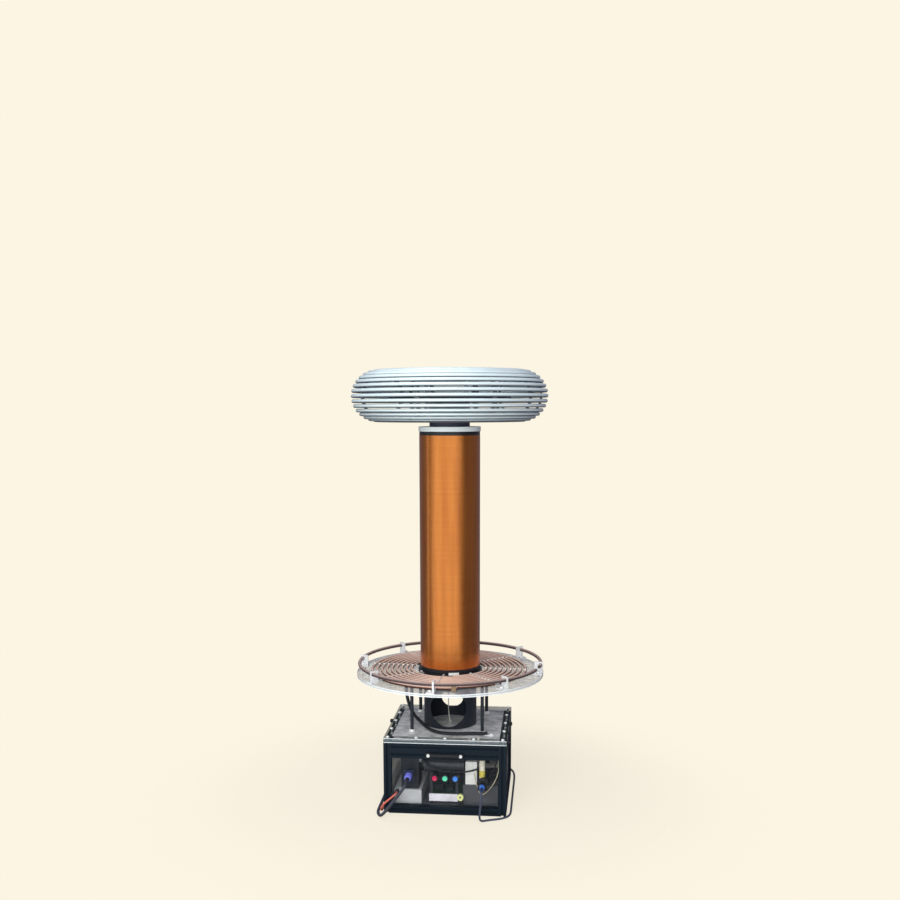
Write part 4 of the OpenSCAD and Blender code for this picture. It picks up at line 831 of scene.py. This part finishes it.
bmesh.ops.scale(shape, vec=tongue_size, verts=tongue["verts"])
bmesh.ops.translate(shape, vec=tongue_offset, verts=tongue["verts"])
bmesh.ops.bevel(shape, geom=shape.edges[:], offset=lug_rounding, affect="EDGES", segments=2, profile=0.5,
                material=-1)
bmesh.ops.translate(shape, vec=lug_at, verts=shape.verts)
bmesh.ops.recalc_face_normals(shape, faces=shape.faces)
feed_lug = placed("feed_cable_lug", shape, bright_steel)
for piece, slot in ((feed_run, "black_rubber"), (feed_lug, "bright_steel")):
    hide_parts("feed_cable")

# ---- Primary ----
# Nine turns of bare copper tube lie in the notches of eight clear combs, on a round plate of clear
# acrylic. White ties hold the turns down, and a brass clamp sits on the tube's outer end.
dress(["primary_plate"], clear_sheet(
    "clear primary plate", (0.66, 0.68, 0.70), 0.42, (0.66, 0.70, 0.72), 0.7, "Z",
    highlight_lines=(0.339, 0.347, 0.0022),
))


def painted_side_shade(name, tones, **kinds):
    """Copper tube painted lighter on top and darker down its sides, as painted shade: each tone is an upward
    share and a colour.
    """
    material = finish(name, tones[-1][1], **kinds)
    tree = material.node_tree
    place = tree.nodes.new("ShaderNodeTexCoord")
    upward_share = parts_of(tree, place.outputs["Normal"])["Z"]
    ramp = tree.nodes.new("ShaderNodeValToRGB")
    for i, (share, tone) in enumerate(tones):
        stop = ramp.color_ramp.elements[i] if i < 2 else ramp.color_ramp.elements.new(share)
        stop.position = share
        stop.color = (*tone, 1.0)
    tree.links.new(upward_share, ramp.inputs["Fac"])
    tree.links.new(ramp.outputs["Color"], surface_of(material).inputs["Color"])
    return material


# Painted shade: the primary's tube is lighter on top and darker down its sides.
bare_copper = painted_side_shade("bare copper tube", (
    (0.0, (0.08, 0.03, 0.022)), (0.30, (0.22, 0.095, 0.070)),
    (0.60, (0.80, 0.49, 0.36)), (0.90, (0.99, 0.76, 0.61)),
), roughness=0.34, metallic=0.3, mottle=0.14, patch=22.0)
spiral_turns = 9
spiral_pitch = 0.0132
spiral_start_r = 0.095
front = math.radians(-90.0)
spiral_start = front + math.radians(10.0)
spiral_height = 0.3525
tube_diameter = 0.008
spiral_steps = 60
spiral_line = []
for i in range(spiral_turns * spiral_steps + 1):
    radius = spiral_start_r + spiral_pitch * i / spiral_steps
    angle = spiral_start + 2 * math.pi * i / spiral_steps
    spiral_line.append(Vector((radius * math.cos(angle), radius * math.sin(angle), spiral_height)))
primary = tube("primary_tube", spiral_line, tube_diameter, bare_copper)
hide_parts("primary_coil")
comb_clear = finish("clear comb acrylic", (0.70, 0.73, 0.74), 0.15, mottle=0.1, patch=40.0, alpha=0.30)
dress(["combs"], comb_clear)
clamp_brass = finish("dull brass clamp", (0.34, 0.22, 0.12), 0.4, metallic=0.3, patch=60.0)
dress(["tap_clamp"], clamp_brass)
tie_half_share = 0.2
tie_alpha = 0.86
strip_alpha = 0.06


def tied_strip():
    """A clear strip that is white where each turn's tie crosses it."""
    material = finish("white ties", (0.82, 0.82, 0.80), 0.4, mottle=0.1, patch=80.0)
    tree = material.node_tree
    place = tree.nodes.new("ShaderNodeTexCoord")
    spot = parts_of(tree, place.outputs["Object"])
    flat = tree.nodes.new("ShaderNodeCombineXYZ")
    tree.links.new(spot["X"], flat.inputs["X"])
    tree.links.new(spot["Y"], flat.inputs["Y"])
    reach = tree.nodes.new("ShaderNodeVectorMath")
    reach.operation = "LENGTH"
    tree.links.new(flat.outputs[0], reach.inputs[0])
    turned_share = maths(tree, "DIVIDE", maths(tree, "ARCTAN2", spot["Y"], spot["X"]), 2 * math.pi)
    steps_out = maths(tree, "SUBTRACT", reach.outputs["Value"], spiral_start_r)
    turns_out = maths(tree, "DIVIDE", steps_out, spiral_pitch)
    start_share = maths(tree, "SUBTRACT", turned_share, spiral_start / (2 * math.pi))
    phase = maths(tree, "FRACT", maths(tree, "ADD", maths(tree, "SUBTRACT", turns_out, start_share), 0.5))
    off_turn = maths(tree, "ABSOLUTE", maths(tree, "SUBTRACT", phase, 0.5))
    tie = maths(tree, "LESS_THAN", off_turn, tie_half_share)
    alpha = maths(tree, "ADD", maths(tree, "MULTIPLY", tie, tie_alpha), strip_alpha)
    tree.links.new(alpha, tree.nodes["Principled BSDF"].inputs["Alpha"])
    return material


dress(["tube_ties"], tied_strip())

# ---- Strike ring ----
# One open ring of tarnished copper tube. Eight clear brackets, screwed to the plate's rim, hold it
# above the primary.
# The ring's overall dull colour is tarnish; its lighter top and darker sides are painted shade.
tarnish_and_painted_shade = painted_side_shade("tarnished copper tube with painted shade", (
    (0.0, (0.085, 0.060, 0.065)), (0.35, (0.16, 0.115, 0.11)),
    (0.65, (0.34, 0.235, 0.20)), (0.92, (0.60, 0.45, 0.39)),
), roughness=0.4, metallic=0.25, mottle=0.5, patch=16.0)
dress(["strike_ring"], tarnish_and_painted_shade)
bracket_clear = finish("clear bracket acrylic", (0.88, 0.90, 0.91), 0.15, mottle=0.3, patch=60.0,
                       alpha=0.72)
dress(["strike_brackets"], bracket_clear)

# ---- Secondary ----
# A single layer of enamelled copper wire on a black tube, which shows as a black band above and
# below it. A black ring with a small white block holds its foot, and a white disc closes its top.
wire_pitch = 0.0004
band_share = 0.3


def wound_wire():
    """Enamelled wire wound turn by turn: fine level ridges, and faint upright streaks in its colour."""
    material = bpy.data.materials.new("enamelled winding")
    material.use_nodes = True
    tree = material.node_tree
    add = tree.nodes.new
    link = tree.links.new
    shader = tree.nodes["Principled BSDF"]
    place = add("ShaderNodeTexCoord")

    def stretched_noise(scale, size, detail):
        stretch = add("ShaderNodeMapping")
        stretch.inputs["Scale"].default_value = scale
        link(place.outputs["Object"], stretch.inputs["Vector"])
        noise = add("ShaderNodeTexNoise")
        noise.inputs["Scale"].default_value = size
        noise.inputs["Detail"].default_value = detail
        link(stretch.outputs["Vector"], noise.inputs["Vector"])
        return noise.outputs["Fac"]

    streaks = stretched_noise((1.0, 1.0, 0.06), 60.0, 3.0)
    bands = stretched_noise((1.0, 1.0, 120.0), 1.2, 4.0)
    both = mixed(tree, band_share, streaks, bands)
    ramp = add("ShaderNodeValToRGB")
    ramp.color_ramp.elements[0].position = 0.3
    ramp.color_ramp.elements[0].color = (0.66, 0.19, 0.030, 1.0)
    ramp.color_ramp.elements[1].position = 0.7
    ramp.color_ramp.elements[1].color = (0.90, 0.30, 0.055, 1.0)
    link(both, ramp.inputs["Fac"])
    link(ramp.outputs["Color"], shader.inputs["Base Color"])
    height = parts_of(tree, place.outputs["Object"])["Z"]
    ridge = maths(tree, "SINE", maths(tree, "MULTIPLY", height, 2 * math.pi / wire_pitch))
    bump = add("ShaderNodeBump")
    bump.inputs["Strength"].default_value = 0.2
    bump.inputs["Distance"].default_value = 0.00005
    link(ridge, bump.inputs["Height"])
    link(bump.outputs["Normal"], shader.inputs["Normal"])
    shader.inputs["Metallic"].default_value = 1.0
    shader.inputs["Roughness"].default_value = 0.27
    shader.inputs["Coat Weight"].default_value = 0.5
    shader.inputs["Coat Roughness"].default_value = 0.15
    return material


dress(["winding"], wound_wire())
former_black = finish("black former tube", (0.012, 0.013, 0.016), 0.3, mottle=0.3, patch=20.0)
dress(["secondary_former", "secondary_foot"], former_black)
block_start = front + math.radians(2.5)
block_sweep = math.radians(18.5)
block_inner = 0.0815
block_outer = 0.0858
block_foot = 0.353
block_top = 0.3595
block_chamfer = (0.0005, 0.0007)
block_section = (
    (block_inner, block_foot), (block_outer, block_foot), (block_outer, block_top - block_chamfer[1]),
    (block_outer - block_chamfer[0], block_top), (block_inner, block_top),
)
shape = bmesh.new()
block_face = shape.faces.new([
    shape.verts.new((r * math.cos(block_start), r * math.sin(block_start), z)) for r, z in block_section
])
bmesh.ops.spin(shape, geom=[block_face, *block_face.verts, *block_face.edges], cent=(0, 0, 0),
               axis=(0, 0, 1), angle=block_sweep, steps=8, use_merge=False)
bmesh.ops.remove_doubles(shape, verts=shape.verts, dist=weld)
bmesh.ops.recalc_face_normals(shape, faces=shape.faces)
foot_block = placed("foot_block", shape, nylon_white)
cap_white = finish("white end cap", (0.88, 0.96, 0.96), 0.4, mottle=0.08, patch=20.0)
dress(["end_cap"], cap_white)

# ---- Top load ----
# A dark collar carries a dark disc. Eight aluminium hoops stand in the disc's edge, and twenty-one
# rings of bright drawn tube lie round them.
collar_grey = finish("dark collar plastic", (0.050, 0.056, 0.090), 0.45, mottle=0.2, patch=20.0)
disc_grey = finish("dark disc paint", (0.030, 0.036, 0.046), 0.42, mottle=0.5, patch=30.0)
dress(["collar"], collar_grey)
dress(["load_disc"], disc_grey)


def bright_tube(name, color, dark):
    """Bright aluminium tube with painted shade on its underside."""
    material = finish(name, color, 0.32, metallic=0.12, mottle=0.16, patch=18.0)
    tree = material.node_tree
    place = tree.nodes.new("ShaderNodeTexCoord")
    # Painted shade: the colour darkens where the tube faces down.
    level = tree.nodes.new("ShaderNodeMapRange")
    level.inputs["From Min"].default_value = -0.8
    level.inputs["From Max"].default_value = -0.15
    tree.links.new(parts_of(tree, place.outputs["Normal"])["Z"], level.inputs["Value"])
    shade = mixed(tree, level.outputs["Result"], dark, color)
    tree.links.new(shade, surface_of(material).inputs["Color"])
    return material


dress(["cage_rings"], bright_tube("bright drawn aluminium", (0.70, 0.81, 0.84), (0.07, 0.085, 0.10)))
# The hoops' dark colour is painted shade between the rings.
dress(["cage_hoops"], finish("aluminium strip with painted shade", (0.16, 0.18, 0.21), 0.4, metallic=0.2, mottle=0.4,
                             patch=18.0))
